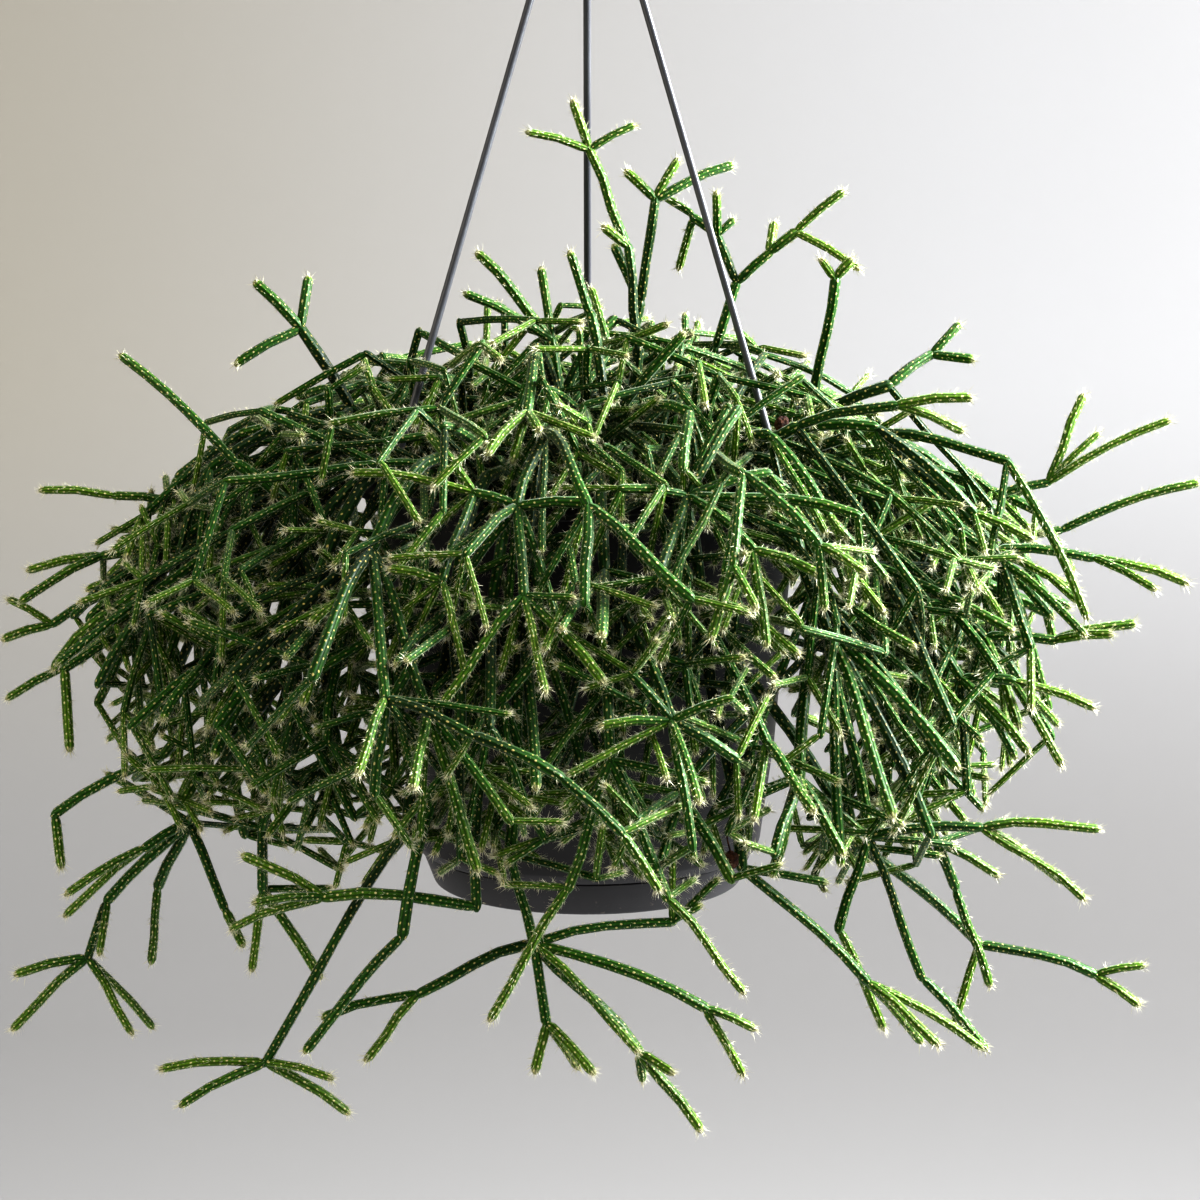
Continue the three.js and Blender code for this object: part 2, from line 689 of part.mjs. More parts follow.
// The first clear main stem among tries, each with a lean from upright, a droop and a length of its own.
function grownMainStem(plantPart, draw, { azimuth, distance, lean, droop, length }) {
  for (let attempt = 0; attempt < MAIN_TRIES; attempt += 1) {
    const direction = azimuth + draw(-20, 20);
    const start = around(direction, distance + draw(-9, 5), SOIL_HEIGHT - ROOT_DEPTH);
    const tilt = radians(lean + draw(-9, 9));
    const heading = around(direction + draw(-12, 12), Math.sin(tilt), Math.cos(tilt));
    const stem = droopingStem(start, heading, length * draw(0.88, 1.12), droop * draw(0.6, 1.4), 0);
    stem.parent = null;
    const endsInside = mayReach(stem.end, MAIN_INSET);
    if (endsInside && rootIsFree(start) && isClear(stem, plantPart)) return stem;
  }
  return null;
}

const rootPlaces = [];
const rootIsFree = (start) => rootPlaces.every((place) => size(minus(place, start)) > ROOT_SPACING);

// A closed tube of STEM_SIDES sides through a list of points, with a radius at each.
function tube(line, radii) {
  const positions = [];
  const last = line.length - 1;
  const first = unit(minus(line[1], line[0]));
  let side = unit(cross(first, Math.abs(first[2]) > 0.9 ? [1, 0, 0] : [0, 0, 1]));
  line.forEach((point, i) => {
    const before = line[Math.max(0, i - 1)];
    const after = line[Math.min(last, i + 1)];
    const along = unit(minus(after, before));
    side = unit(minus(side, times(along, dot(side, along))));
    const over = cross(along, side);
    for (let k = 0; k < STEM_SIDES; k += 1) {
      const angle = (2 * Math.PI * (k + 0.5)) / STEM_SIDES;
      const corner = add(times(side, radii[i] * Math.cos(angle)), times(over, radii[i] * Math.sin(angle)));
      positions.push(...add(point, corner));
    }
  });
  const faces = [];
  for (let i = 0; i < last; i += 1) {
    for (let k = 0; k < STEM_SIDES; k += 1) {
      const a = i * STEM_SIDES + k;
      const b = i * STEM_SIDES + ((k + 1) % STEM_SIDES);
      faces.push(a, b, a + STEM_SIDES, b, b + STEM_SIDES, a + STEM_SIDES);
    }
  }
  for (let k = 1; k < STEM_SIDES - 1; k += 1) {
    faces.push(0, k + 1, k);
    faces.push(last * STEM_SIDES, last * STEM_SIDES + k, last * STEM_SIDES + k + 1);
  }
  const geometry = new THREE.BufferGeometry();
  geometry.setAttribute("position", new THREE.Float32BufferAttribute(positions, 3));
  geometry.setIndex(faces);
  return solidFrom(geometry);
}

// One tube runs through a stem and the first branch of each tip. The other branches are tubes that start,
// pinched, inside the joint that they grow from.
function axisTubes(stem, stems) {
  const line = [stem.start];
  const radii = [LEVELS[stem.level].radius * SECTION_SWELL * (stem.parent === null ? 1 : PINCH)];
  const tubes = [];
  let current = stem;
  while (current) {
    const radius = LEVELS[current.level].radius * SECTION_SWELL;
    for (const point of stemLine(current).slice(1)) {
      line.push(point);
      radii.push(radius);
    }
    const [next, ...others] = stems.filter((other) => other.parent === current);
    others.forEach((other) => tubes.push(...axisTubes(other, stems)));
    current = next;
  }
  return [tube(line, radii), ...tubes];
}

// The middle of a dried flower that clings to the side of a stem.
function flowerCentre(stems, { stem, share, side }) {
  const { start, end, bow, level } = stems[stem];
  const run = minus(end, start);
  const onStem = add(add(start, times(run, share)), [0, 0, bow * 4 * share * (1 - share)]);
  const along = unit(add(run, [0, 0, bow * 4 * (1 - 2 * share)]));
  const outward = unit(minus(side, times(along, dot(side, along))));
  const distance = FLOWER_SEAT * (LEVELS[level].radius * SECTION_SWELL + DRIED_FLOWER_RADIUS) + GAP;
  return add(onStem, times(outward, distance));
}

// Plants every stem, and returns the stems of each plant part by its name.
function plantStems() {
  const parts = new Map();
  for (const [name, { root, path }] of Object.entries(SHOWN_STEMS)) {
    const stems = shownStems(root, path);
    rootPlaces.push(stems[0].start);
    stems.forEach((stem) => occupy(stem, name));
    parts.set(name, stems);
  }
  for (const [name, flower] of Object.entries(DRIED_FLOWERS)) {
    occupyPoint(flowerCentre(parts.get(flower.on), flower), name);
  }
  const families = FRONT_AZIMUTHS.map((azimuth, i) => ({
    name: `front_${String(i + 1).padStart(2, "0")}`,
    rule: { azimuth, distance: 30, lean: 40, droop: 0.3, length: 72 },
    extras: BACK_EXTRAS,
    mostDroop: 0.3,
  }));
  for (let i = 0; i < BACK_STEMS; i += 1) {
    const name = `back_${String(i + 1).padStart(2, "0")}`;
    const azimuth = BACK_FROM + ((BACK_TO - BACK_FROM) * i) / (BACK_STEMS - 1);
    const far = i % 2 === 0;
    const rule = far
      ? { azimuth, distance: 45, lean: 40, droop: 0.34, length: 86 }
      : { azimuth, distance: 32, lean: 33, droop: 0.28, length: 68 };
    families.push({ name, rule, extras: BACK_EXTRAS, mostDroop: 0.24 });
  }
  for (let i = 0; i < CROWN_STEMS; i += 1) {
    const name = `crown_${String(i + 1).padStart(2, "0")}`;
    const distance = 12 + (24 * i) / CROWN_STEMS;
    const rule = { azimuth: i * GOLDEN_ANGLE, distance, lean: 14 + 3 * i, droop: 0.06, length: 27 };
    families.push({ name, rule, extras: CROWN_EXTRAS, mostDroop: 0.1 });
  }
  families.forEach(({ name, rule }, i) => {
    const main = grownMainStem(name, drawsFrom(FIRST_SEED + 97 * i), rule);
    if (main === null) return;
    rootPlaces.push(main.start);
    occupy(main, name);
    parts.set(name, [main]);
  });
  families.filter(({ name }) => parts.has(name)).forEach(({ name, extras, mostDroop }, i) => {
    const stems = parts.get(name);
    const draw = drawsFrom(FIRST_SEED + 3001 + 61 * i);
    branchOut(stems, [...stems], name, stems.length + extras, mostDroop, draw);
  });
  Object.keys(SHOWN_STEMS).forEach((name, i) => {
    const stems = parts.get(name);
    const joints = stems.filter((stem) => stem.level < 2);
    const draw = drawsFrom(FIRST_SEED + 6007 + 89 * i);
    branchOut(stems, joints, name, stems.length + SHOWN_EXTRAS, 0.4, draw);
  });
  return parts;
}

function driedFlowerSolid(flower) {
  const crumpled = new THREE.IcosahedronGeometry(DRIED_FLOWER_RADIUS, 0);
  return solidFrom(crumpled.translate(...flowerCentre(plantParts.get(flower.on), flower)));
}

function stemSolid(stems) {
  return axisTubes(stems[0], stems).reduce((whole, next) => whole.add(next));
}

// Assembly

const hangingPlant = new THREE.Group();
hangingPlant.position.z = -HOOK_BEARING_HEIGHT;

function addPiece(name, solid, finish) {
  const mesh = new THREE.Mesh(geometryFrom(solid), new THREE.MeshStandardMaterial({ ...finish }));
  mesh.name = name;
  hangingPlant.add(mesh);
}

const plantParts = plantStems();
const roots = [...plantParts.values()].map((stems) => [stems[0].start, stemLine(stems[0])[1]]);

addPiece("saucer", saucerSolid(), PLASTIC);
addPiece("pot", potSolid(), PLASTIC);
addPiece("soil", soilSolid(roots), PEAT);
addPiece("hanger_hook", hookSolid(), WIRE_PLASTIC);
for (const [side, azimuth] of Object.entries(LEG_AZIMUTHS)) {
  addPiece(`hanger_leg_${side}`, legSolid(azimuth), WIRE_PLASTIC);
}
for (const [name, stems] of plantParts) {
  addPiece(`stem_${name}`, stemSolid(stems), STEM_GREEN);
}
for (const [name, flower] of Object.entries(DRIED_FLOWERS)) {
  addPiece(name, driedFlowerSolid(flower), DRIED_BROWN);
}

export default hangingPlant;
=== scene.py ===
"""A hanging pot of rhipsalis: fine bristly stems, a smooth pot with its hanger, and a pale room."""
import json
import math

import bpy
import numpy as np
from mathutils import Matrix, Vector

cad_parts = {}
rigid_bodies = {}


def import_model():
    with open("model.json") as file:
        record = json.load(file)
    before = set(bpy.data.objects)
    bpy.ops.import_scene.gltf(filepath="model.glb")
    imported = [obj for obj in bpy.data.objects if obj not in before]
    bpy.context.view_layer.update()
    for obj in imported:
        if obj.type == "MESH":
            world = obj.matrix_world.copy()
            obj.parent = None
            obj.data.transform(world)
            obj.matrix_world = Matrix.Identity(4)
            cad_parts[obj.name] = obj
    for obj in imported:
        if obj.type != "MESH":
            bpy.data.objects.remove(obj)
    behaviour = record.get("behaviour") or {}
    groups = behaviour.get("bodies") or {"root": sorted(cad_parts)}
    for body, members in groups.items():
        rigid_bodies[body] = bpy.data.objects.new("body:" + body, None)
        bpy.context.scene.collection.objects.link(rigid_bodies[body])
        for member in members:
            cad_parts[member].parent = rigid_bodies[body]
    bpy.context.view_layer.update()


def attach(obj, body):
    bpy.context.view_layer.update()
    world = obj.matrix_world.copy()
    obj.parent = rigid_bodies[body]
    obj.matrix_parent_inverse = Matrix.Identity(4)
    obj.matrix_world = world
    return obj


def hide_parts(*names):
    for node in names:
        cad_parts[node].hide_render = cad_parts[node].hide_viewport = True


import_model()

# Sizes in millimetres and angles in degrees, as in the part's source. Heights are above the saucer's
# underside, and place() takes a point from there to the frame's metres.
GAP = 0.3
WALL = 1.7
SAUCER_HEIGHT = 11.6
SAUCER_BASE_RADIUS = 54
SAUCER_RIM_RADIUS = 58.5
SAUCER_FLOOR = 1.8
SAUCER_LIP = 1.6

FOOT_RADIUS = 52
FOOT_BEAD = 1.6
SHOULDER_HEIGHT = 12
SHOULDER_RADIUS = 61
FLOOR_UNDERSIDE = 4
RIM_HEIGHT = 142
RIM_RADIUS = 82
RIM_THICKNESS = 2.2
MOUTH_RADIUS = 74
DRAIN_HOLES = 6
DRAIN_HOLE_RADIUS = 3.5
DRAIN_CIRCLE_RADIUS = 30
SOIL_HEIGHT = 130

APEX_HEIGHT = 372
LEG_SLOPE = 0.339
LEG_RADIUS = 1.3
LEG_HEAD_RADIUS = 2.5
LEG_HEAD_LENGTH = 2.4
LEG_AZIMUTHS = {"back": 90, "left": 210, "right": 330}

HUB_RADIUS = 13
HUB_UNDERSIDE = 347
HUB_TOP = 353
HOOK_BEARING_HEIGHT = 391
HOOK_INNER_RADIUS = 12.5
HOOK_ROD_RADIUS = 2.5

SECTION_SWELL = 1.1
ROOT_DEPTH = 11
STEM_CLEARANCE = 5.3
SAMPLE_STEP = 3.5
JOINT_REACH = 10
CELL = 6
TRIES = 150
MAIN_TRIES = 400
MAIN_BOW = 0.08
BRANCH_BOW = 0.05
RIM_PASS = 12
ROOT_SPACING = 8
FIRST_SEED = 4153

# The mound that the grown stems keep to. Its roof falls and its underside rises with the square of the
# distance from the pot's axis and from the rim. In front of the pot it ends higher. A main stem ends
# inside it, and the branches of each part end inside or outside it by an inset of the part's own.
ROOF_HEIGHT = 194
ROOF_FALL = 0.0029
UNDERSIDE_HEIGHT = 22
UNDERSIDE_RISE = 0.0045
FRONT_UNDERSIDE_HEIGHT = 46
FRONT_HALF_WIDTH = 72
MAIN_INSET = 12
BRANCH_INSETS = (-16, 10)

# Branches grow partly away from a point on the axis, the mound's heart, so that they spread on all sides.
HEART_HEIGHT = 160
HEART_PULL = 0.35

# Levels of branching, from the stem that stands in the soil out to the last short one.
# A rule gives lengths, the radius, straight spans, how many grow from its tip, and how far they turn.
LEVELS = [
    {"shortest": 88, "longest": 122, "radius": 2.1, "spans": 4, "fewest": 2, "most": 4, "turn": 36},
    {"shortest": 46, "longest": 74, "radius": 1.95, "spans": 2, "fewest": 2, "most": 3, "turn": 38},
    {"shortest": 26, "longest": 46, "radius": 1.8, "spans": 1, "fewest": 1, "most": 3, "turn": 40},
    {"shortest": 15, "longest": 30, "radius": 1.65, "spans": 1, "fewest": 0, "most": 0, "turn": 0},
]

# Stems that show singly at the outline: the azimuth and the distance from the pot's axis at which each
# stands in the soil, and its points. A point is x, y, z and then the points that branch from it.
SHOWN_STEMS = {
    "tall_spire": (62, 20, [18, 4, 189, [14, 5, 224, [0, 8, 257, [-21, 0, 262], [-5, 10, 273], [17, 12,
        264]], [5, 0, 230]]]),
    "back_spire": (82, 40, [19, 22, 203, [24, 22, 239, [13, 22, 248], [32, 26, 252], [52, 34, 249]], [9,
        24, 222]]),
    "right_top": (38, 44, [45, 20, 187, [53, 20, 210, [65, 20, 220, [74, 20, 227, [90, 20, 241], [95, 10,
        214]], [66, 31, 229]], [45, 24, 226, [45, 20, 241], [52, 26, 231], [36, 26, 232, [27, 34, 238],
        [32, 30, 212]]]]]),
    "right_upright": (22, 42, [80, 14, 163, [86, 2, 213, [80, 0, 219], [92, 2, 219]]]),
    "left_top_fork": (186, 38, [-82, -10, 169, [-99, -10, 197, [-114, -10, 212], [-96, 0, 213], [-120,
        -20, 184]]]),
    "left_spike": (204, 36, [-100, -48, 139, [-118, -50, 155, [-158, -30, 189]]]),
    "crown_fork": (195, 18, [-9, -10, 171, [-12, -10, 193, [-38, -10, 222], [-42, -22, 209], [-16, 0,
        216]]]),
    "crown_front": (285, 28, [8, -40, 168, [1, -30, 204, [-6, -30, 224]], [33, -44, 198], [33, -108, 151,
        [10, -118, 156], [50, -84, 178], [88, -112, 146], [60, -98, 158]]]),
    "right_crown_tip": (353, 25, [105, -14, 177, [120, 0, 186, [130, 5, 196], [134, -5, 184]]]),
    "right_front_arm": (320, 39, [70, -70, 170, [102, -80, 178, [126, -80, 180], [124, -72, 168]]]),
    "right_middle_arm": (344, 38, [98, -36, 163, [142, -50, 155]]),
    "right_long_fork": (4, 49, [98, 2, 146, [139, 0, 134, [162, 0, 141, [203, 0, 163], [174, 10, 171],
        [179, 5, 158]]]]),
    "right_far_arm": (24, 50, [100, 24, 132, [132, 20, 107, [169, 20, 121, [217, 20, 138]]]]),
    "right_level_arm": (349, 50, [102, -28, 140, [141, -30, 121, [174, -30, 119, [206, -30, 110], [193,
        -42, 110]]]]),
    "right_low_arm": (335, 52, [104, -48, 126, [134, -60, 96, [158, -60, 96, [184, -60, 102], [175, -70,
        100]]]]),
    "right_low_spray": (332, 30, [96, -72, 122, [124, -80, 86, [142, -80, 86, [168, -80, 77], [156, -92,
        60], [158, -64, 68]]]]),
    "left_far_arm": (176, 49, [-102, 2, 150, [-144, 0, 133, [-166, 0, 136, [-191, 0, 138]]]]),
    "left_level_arm": (196, 50, [-104, -20, 142, [-147, -20, 119, [-168, -20, 118, [-193, -20, 113],
        [-194, -31, 104]]]]),
    "left_bent_arm": (217, 40, [-95, -71, 126, [-155, -40, 95, [-179, -40, 82, [-198, -40, 72], [-175,
        -51, 56]]]]),
    "left_outer_tip": (164, 47, [-108, 14, 130, [-165, 10, 102, [-190, 10, 88, [-205, 10, 98], [-207, 10,
        83]]]]),
    "left_drop": (225, 51, [-90, -90, 114, [-142, -70, 58, [-179, -70, 38, [-176, -70, 20]]]]),
    "left_low_spray": (236, 34, [-78, -104, 118, [-134, -66, 34, [-163, -62, 6, [-170, -60, -15, [-196,
        -60, -39], [-195, -58, -20], [-153, -72, -37], [-149, -48, -42]], [-164, -70, -10]], [-149, -72,
        27, [-174, -78, 13], [-176, -68, 3]], [-146, -56, 9, [-149, -52, -18]], [-121, -70, 5, [-115, -74,
        -6]]], [-107, -92, 38, [-107, -88, 16, [-111, -90, -10], [-88, -88, -13]]]]),
    "front_left_long": (248, 48, [-42, -120, 120, [-56, -150, 52, [-102, -150, -24, [-135, -150, -25],
        [-128, -157, -35], [-79, -160, -25], [-75, -146, -41]]]]),
    "front_left_arm": (257, 34, [-30, -114, 118, [-34, -156, 28, [-83, -158, 33, [-107, -158, 47], [-103,
        -168, 34], [-112, -148, 20]]], [-57, -164, 21, [-88, -162, -16]]]),
    "front_low_spray": (264, 50, [-20, -116, 112, [-24, -144, 42, [-16, -148, 14, [39, -152, -5, [54,
        -150, -12], [50, -148, -28]], [18, -146, -22, [28, -152, -26], [18, -140, -32], [37, -146, -47]],
        [-12, -154, -10, [-16, -158, -24], [-2, -150, -25], [3, -162, -23]], [-54, -146, -2, [-84, -141,
        -11], [-70, -148, -23]], [29, -138, 20, [37, -138, 26]], [17, -162, -16]]]]),
    "front_right_arm": (289, 50, [38, -112, 112, [50, -122, 32, [92, -120, -6, [129, -118, -28], [114,
        -128, -24], [110, -108, -29]]]]),
    "right_hanging_arm": (312, 50, [74, -94, 118, [90, -84, 30, [134, -62, -9, [174, -60, -20, [190, -60,
        -16], [188, -62, -30]], [124, -70, -34]]], [117, -78, 30, [124, -72, 13, [136, -70, -21]], [138,
        -76, 19]]]),
    "right_low_fan": (299, 36, [78, -112, 108, [92, -104, 38, [130, -102, 42, [168, -100, 41], [163, -104,
        18], [158, -88, 20]], [82, -108, 8, [98, -104, -26]], [111, -98, -11, [133, -94, -36]]]]),
    "front_left_drop": (238, 46, [-68, -124, 136, [-48, -162, 92, [-33, -170, 44]], [-61, -168, 97, [-33,
        -176, 88, [-6, -178, 75, [12, -180, 58, [23, -178, 40]]]]]]),
    "front_middle_drop": (272, 38, [6, -118, 128, [8, -160, 76, [26, -160, 32, [50, -158, 2]], [-6, -164,
        36, [-30, -168, -4]]], [27, -158, 88, [4, -166, 89], [13, -156, 105], [46, -160, 97], [48, -152,
        75]]]),
    "front_crown_fork": (276, 15, [-14, -84, 170, [-22, -118, 149, [2, -124, 152], [-19, -150, 126, [-44,
        -165, 96], [-12, -170, 100], [6, -164, 102]], [-37, -112, 154, [-51, -98, 171], [-75, -112, 160],
        [-45, -140, 129, [-62, -136, 133], [-37, -152, 102]]]]]),
}

# The other stems grow by a rule. Those of the back stand in an arc behind the axis and trail over the
# rim, two at the front hang before the pot, and those of the crown stand round the axis and stay short.
FRONT_AZIMUTHS = [255, 296]
BACK_STEMS = 12
BACK_FROM = 28
BACK_TO = 166
CROWN_STEMS = 6
GOLDEN_ANGLE = 137.508
SOIL_REACH = 58
SHOWN_EXTRAS = 6
BACK_EXTRAS = 14
CROWN_EXTRAS = 9

# The mound between those stems: more branches on each of them, and slim stems that stand between their
# roots. Those of the sides spread to the left and right, those of the skirt hang before and behind the
# pot, those of the shoulder arch over the rim, and those of the crown rise. The slim ones keep to a circle
# round an upright line left of the pot's axis.
FILL_SEED = 90210
FILL_MAIN_CLEARANCE = 2.8
FILL_ROOT_SPACING = 2.9
FILL_WIDTH = 0.78
FILL_EXTRAS = 23
FILL_PASSES = 2
FILL_MOST_DROOP = 0.06
FILL_JOINT_INSET = -30
FILL_TRIES = 160
FILL_REACH = 150
FILL_CENTRE_X = -12
FILL_ROOF_INSET = 21
ROOF_RAGGEDNESS = 1.25
FILL_LOW_INSET = -12
SHOULDER_LEVEL = 110
SIDE_SHARE = 0.45
CROWN_INNER = 6
CROWN_SPREAD = 46
CROWN_LEAST_LEAN = 6
CROWN_LEAN = 0.7
CROWN_DROOP = 0.05
SIDE_GROWTH = {"clearance": 2.9, "tries": 120, "turn": 1.9, "pull": 0.5, "heart": 1, "insets": (-36, 6)}
FILL_GROWTH = {"clearance": 2.9, "tries": 110, "turn": 1.9, "pull": 0.4, "heart": 0.8, "insets": (-30, 10)}
SKIRT_GROWTH = {"clearance": 3.0, "tries": 80, "turn": 1.2, "pull": -0.3, "heart": 1, "insets": (-26, 6)}
FILLS = {
    "side": {"stems": 260, "extras": 18, "most_droop": 0.1, "growth": SIDE_GROWTH,
        "distances": (38, 50), "lean": (36, 48), "droop": (0.1, 0.36), "length": (42, 96)},
    "skirt": {"stems": 90, "extras": 12, "most_droop": 0.5, "growth": SKIRT_GROWTH,
        "distances": (50, 50), "lean": (30, 38), "droop": (0.42, 0.56), "length": (76, 92)},
    "shoulder": {"stems": 160, "extras": 20, "most_droop": 0.2, "growth": FILL_GROWTH,
        "distances": (40, 54), "lean": (30, 48), "droop": (0.1, 0.35), "length": (52, 96)},
    "crown": {"stems": 120, "extras": 12, "most_droop": 0.1, "growth": FILL_GROWTH, "length": (24, 60)},
}

DRIED_FLOWERS = {
    "dried_flower_low": {"on": "front_right_arm", "stem": 1, "share": 0.94, "side": (-1, -1.2, 0)},
    "dried_flower_middle": {"on": "front_right_arm", "stem": 1, "share": 0.6, "side": (1, -0.1, 0)},
    "dried_flower_high": {"on": "right_front_arm", "stem": 0, "share": 0.87, "side": (0, 0.8, 1)},
}
DRIED_FLOWER_RADIUS = 2.6
FLOWER_SEAT = 0.87
FLOWER_LENGTHENING = 1.12


# Small vector steps, on plain tuples of three numbers

def add(a, b):
    return (a[0] + b[0], a[1] + b[1], a[2] + b[2])


def minus(a, b):
    return (a[0] - b[0], a[1] - b[1], a[2] - b[2])


def times(a, k):
    return (a[0] * k, a[1] * k, a[2] * k)


def dot(a, b):
    return a[0] * b[0] + a[1] * b[1] + a[2] * b[2]


def cross(a, b):
    return (
        a[1] * b[2] - a[2] * b[1],
        a[2] * b[0] - a[0] * b[2],
        a[0] * b[1] - a[1] * b[0],
    )


def size(a):
    return math.sqrt(dot(a, a))


def unit(a):
    return times(a, 1 / size(a))


def radians(degrees):
    return (degrees * math.pi) / 180


def around(azimuth, radius, height):
    """The point at an azimuth and a radius round the pot's axis."""
    return (radius * math.cos(radians(azimuth)), radius * math.sin(radians(azimuth)), height)


def place(points):
    """Points in millimetres above the saucer's underside, as an array in the frame's metres."""
    moved = np.asarray(points, dtype=float) - (0, 0, HOOK_BEARING_HEIGHT)
    return moved / 1000


def draws_from(seed):
    """A repeatable stream of draws between a lowest and a highest value."""
    state = seed

    def draw(lowest, highest):
        nonlocal state
        state = (state * 1664525 + 1013904223) % 4294967296
        return lowest + ((highest - lowest) * state) / 4294967296

    return draw


# Stems, grown by the same rules and draws as in the part's source

class Stem:
    """A stem between two joints, which bows upward by bow at its middle."""

    def __init__(self, start, end, bow, level, parent=None):
        self.start = start
        self.end = end
        self.bow = bow
        self.level = level
        self.spans = LEVELS[level]["spans"]
        self.parent = parent
        self.width = 1


def stem_line(stem):
    """The points of a stem in straight spans of equal share."""
    points = []
    for i in range(stem.spans + 1):
        t = i / stem.spans
        straight = add(stem.start, times(minus(stem.end, stem.start), t))
        points.append(add(straight, (0, 0, stem.bow * 4 * t * (1 - t))))
    return points


def samples_of(stem):
    """Points along a stem's line, no further apart than SAMPLE_STEP."""
    line = stem_line(stem)
    samples = [line[0]]
    for before, after in zip(line, line[1:]):
        span = minus(after, before)
        steps = math.ceil(size(span) / SAMPLE_STEP)
        for k in range(1, steps + 1):
            samples.append(add(before, times(span, k / steps)))
    return samples


def end_heading(stem):
    """The direction in which a stem leaves its end."""
    return unit(add(minus(stem.end, stem.start), (0, 0, -4 * stem.bow)))


cells = {}


def cell_of(point):
    return tuple(math.floor(value / CELL) for value in point)


def occupy_point(point, plant_part):
    cells.setdefault(cell_of(point), []).append((point, plant_part))


def occupy(stem, plant_part):
    for point in samples_of(stem):
        occupy_point(point, plant_part)


def leg_point(azimuth, height):
    """A point on a leg's axis. The three axes meet above the hub."""
    return around(azimuth, (APEX_HEIGHT - height) * LEG_SLOPE, height)


def meets_pot(point):
    """True where a stem through this point would touch the pot, saucer, soil or a leg of the hanger."""
    x, y, z = point
    reach = math.sqrt(x * x + y * y)
    margin = LEVELS[0]["radius"] + 2 * GAP
    for azimuth in LEG_AZIMUTHS.values():
        if size(minus(point, leg_point(azimuth, z))) < LEG_RADIUS + margin + 0.6:
            return True
    if z > RIM_HEIGHT + margin or reach > RIM_RADIUS + margin:
        return False
    if z > SOIL_HEIGHT + margin and reach < MOUTH_RADIUS - WALL - margin - 1:
        return False
    return z > -margin


def is_rooted(stem, point):
    """True for the stretch of a main stem that stands in the soil."""
    x, y, z = point
    reach = math.sqrt(x * x + y * y)
    return stem.level == 0 and z < SOIL_HEIGHT + 6 and reach < SOIL_REACH + 8


def is_clear(stem, plant_part, clearance=STEM_CLEARANCE):
    """True where a stem keeps its distance from all that stands already, but for its own joint."""
    for point in samples_of(stem):
        if not is_rooted(stem, point) and meets_pot(point):
            return False
        near_start = size(minus(point, stem.start)) < JOINT_REACH
        i, j, k = cell_of(point)
        for a in (i - 1, i, i + 1):
            for b in (j - 1, j, j + 1):
                for c in (k - 1, k, k + 1):
                    for other, owner in cells.get((a, b, c), ()):
                        if size(minus(point, other)) >= clearance:
                            continue
                        if owner != plant_part:
                            return False
                        if not near_start and size(minus(other, stem.start)) >= JOINT_REACH:
                            return False
    return True


def may_reach(point, inset=0):
    """True inside the mound that the grown stems keep to, or further inside it by an inset."""
    x, y, z = point
    reach = math.sqrt(x * x + y * y)
    beyond_rim = max(0, reach - RIM_RADIUS)
    if z > ROOF_HEIGHT - ROOF_FALL * reach * reach - inset:
        return False
    if z < UNDERSIDE_HEIGHT + UNDERSIDE_RISE * beyond_rim * beyond_rim + inset:
        return False
    return not (abs(x) < FRONT_HALF_WIDTH and y < 0 and z < FRONT_UNDERSIDE_HEIGHT + inset)


def turned_from(heading, turn, spin):
    """A direction turned away from a heading, at an angle round it."""
    upright = abs(heading[2]) > 0.95
    side = unit(cross(heading, (1, 0, 0) if upright else (0, 0, 1)))
    over = cross(side, heading)
    outward = add(times(side, math.cos(radians(spin))), times(over, math.sin(radians(spin))))
    return unit(add(times(heading, math.cos(radians(turn))), times(outward, math.sin(radians(turn)))))


def drooping_stem(start, heading, length, droop, level):
    """A stem from a point in a direction, which droops by a share of its length."""
    end = add(add(start, times(heading, length)), (0, 0, -droop * length))
    return Stem(start, end, (droop * length) / 4, level)


def fill_may_reach(point, inset):
    """The mound's bounds for slim stems: more ragged at the roof, and near to the underside."""
    x, y, z = point
    if math.hypot(x - FILL_CENTRE_X, y) > FILL_REACH - inset:
        return False
    if z > SHOULDER_LEVEL:
        return may_reach(point, ROOF_RAGGEDNESS * inset + FILL_ROOF_INSET)
    return may_reach(point, max(inset, FILL_LOW_INSET))


# How branches grow: how near they may pass, how often each is tried, how widely it turns, how strongly it
# leans away from the heart, how far the heart keeps its own height rather than the branch's, how far the
# mound's bounds are moved inward, and which bounds they are.
SOURCE_GROWTH = {
    "clearance": STEM_CLEARANCE,
    "tries": TRIES,
    "turn": 1,
    "pull": HEART_PULL,
    "heart": 1,
    "insets": BRANCH_INSETS,
    "bounds": may_reach,
}
SIDE_GROWTH["bounds"] = fill_may_reach
FILL_GROWTH["bounds"] = fill_may_reach
SKIRT_GROWTH["bounds"] = fill_may_reach


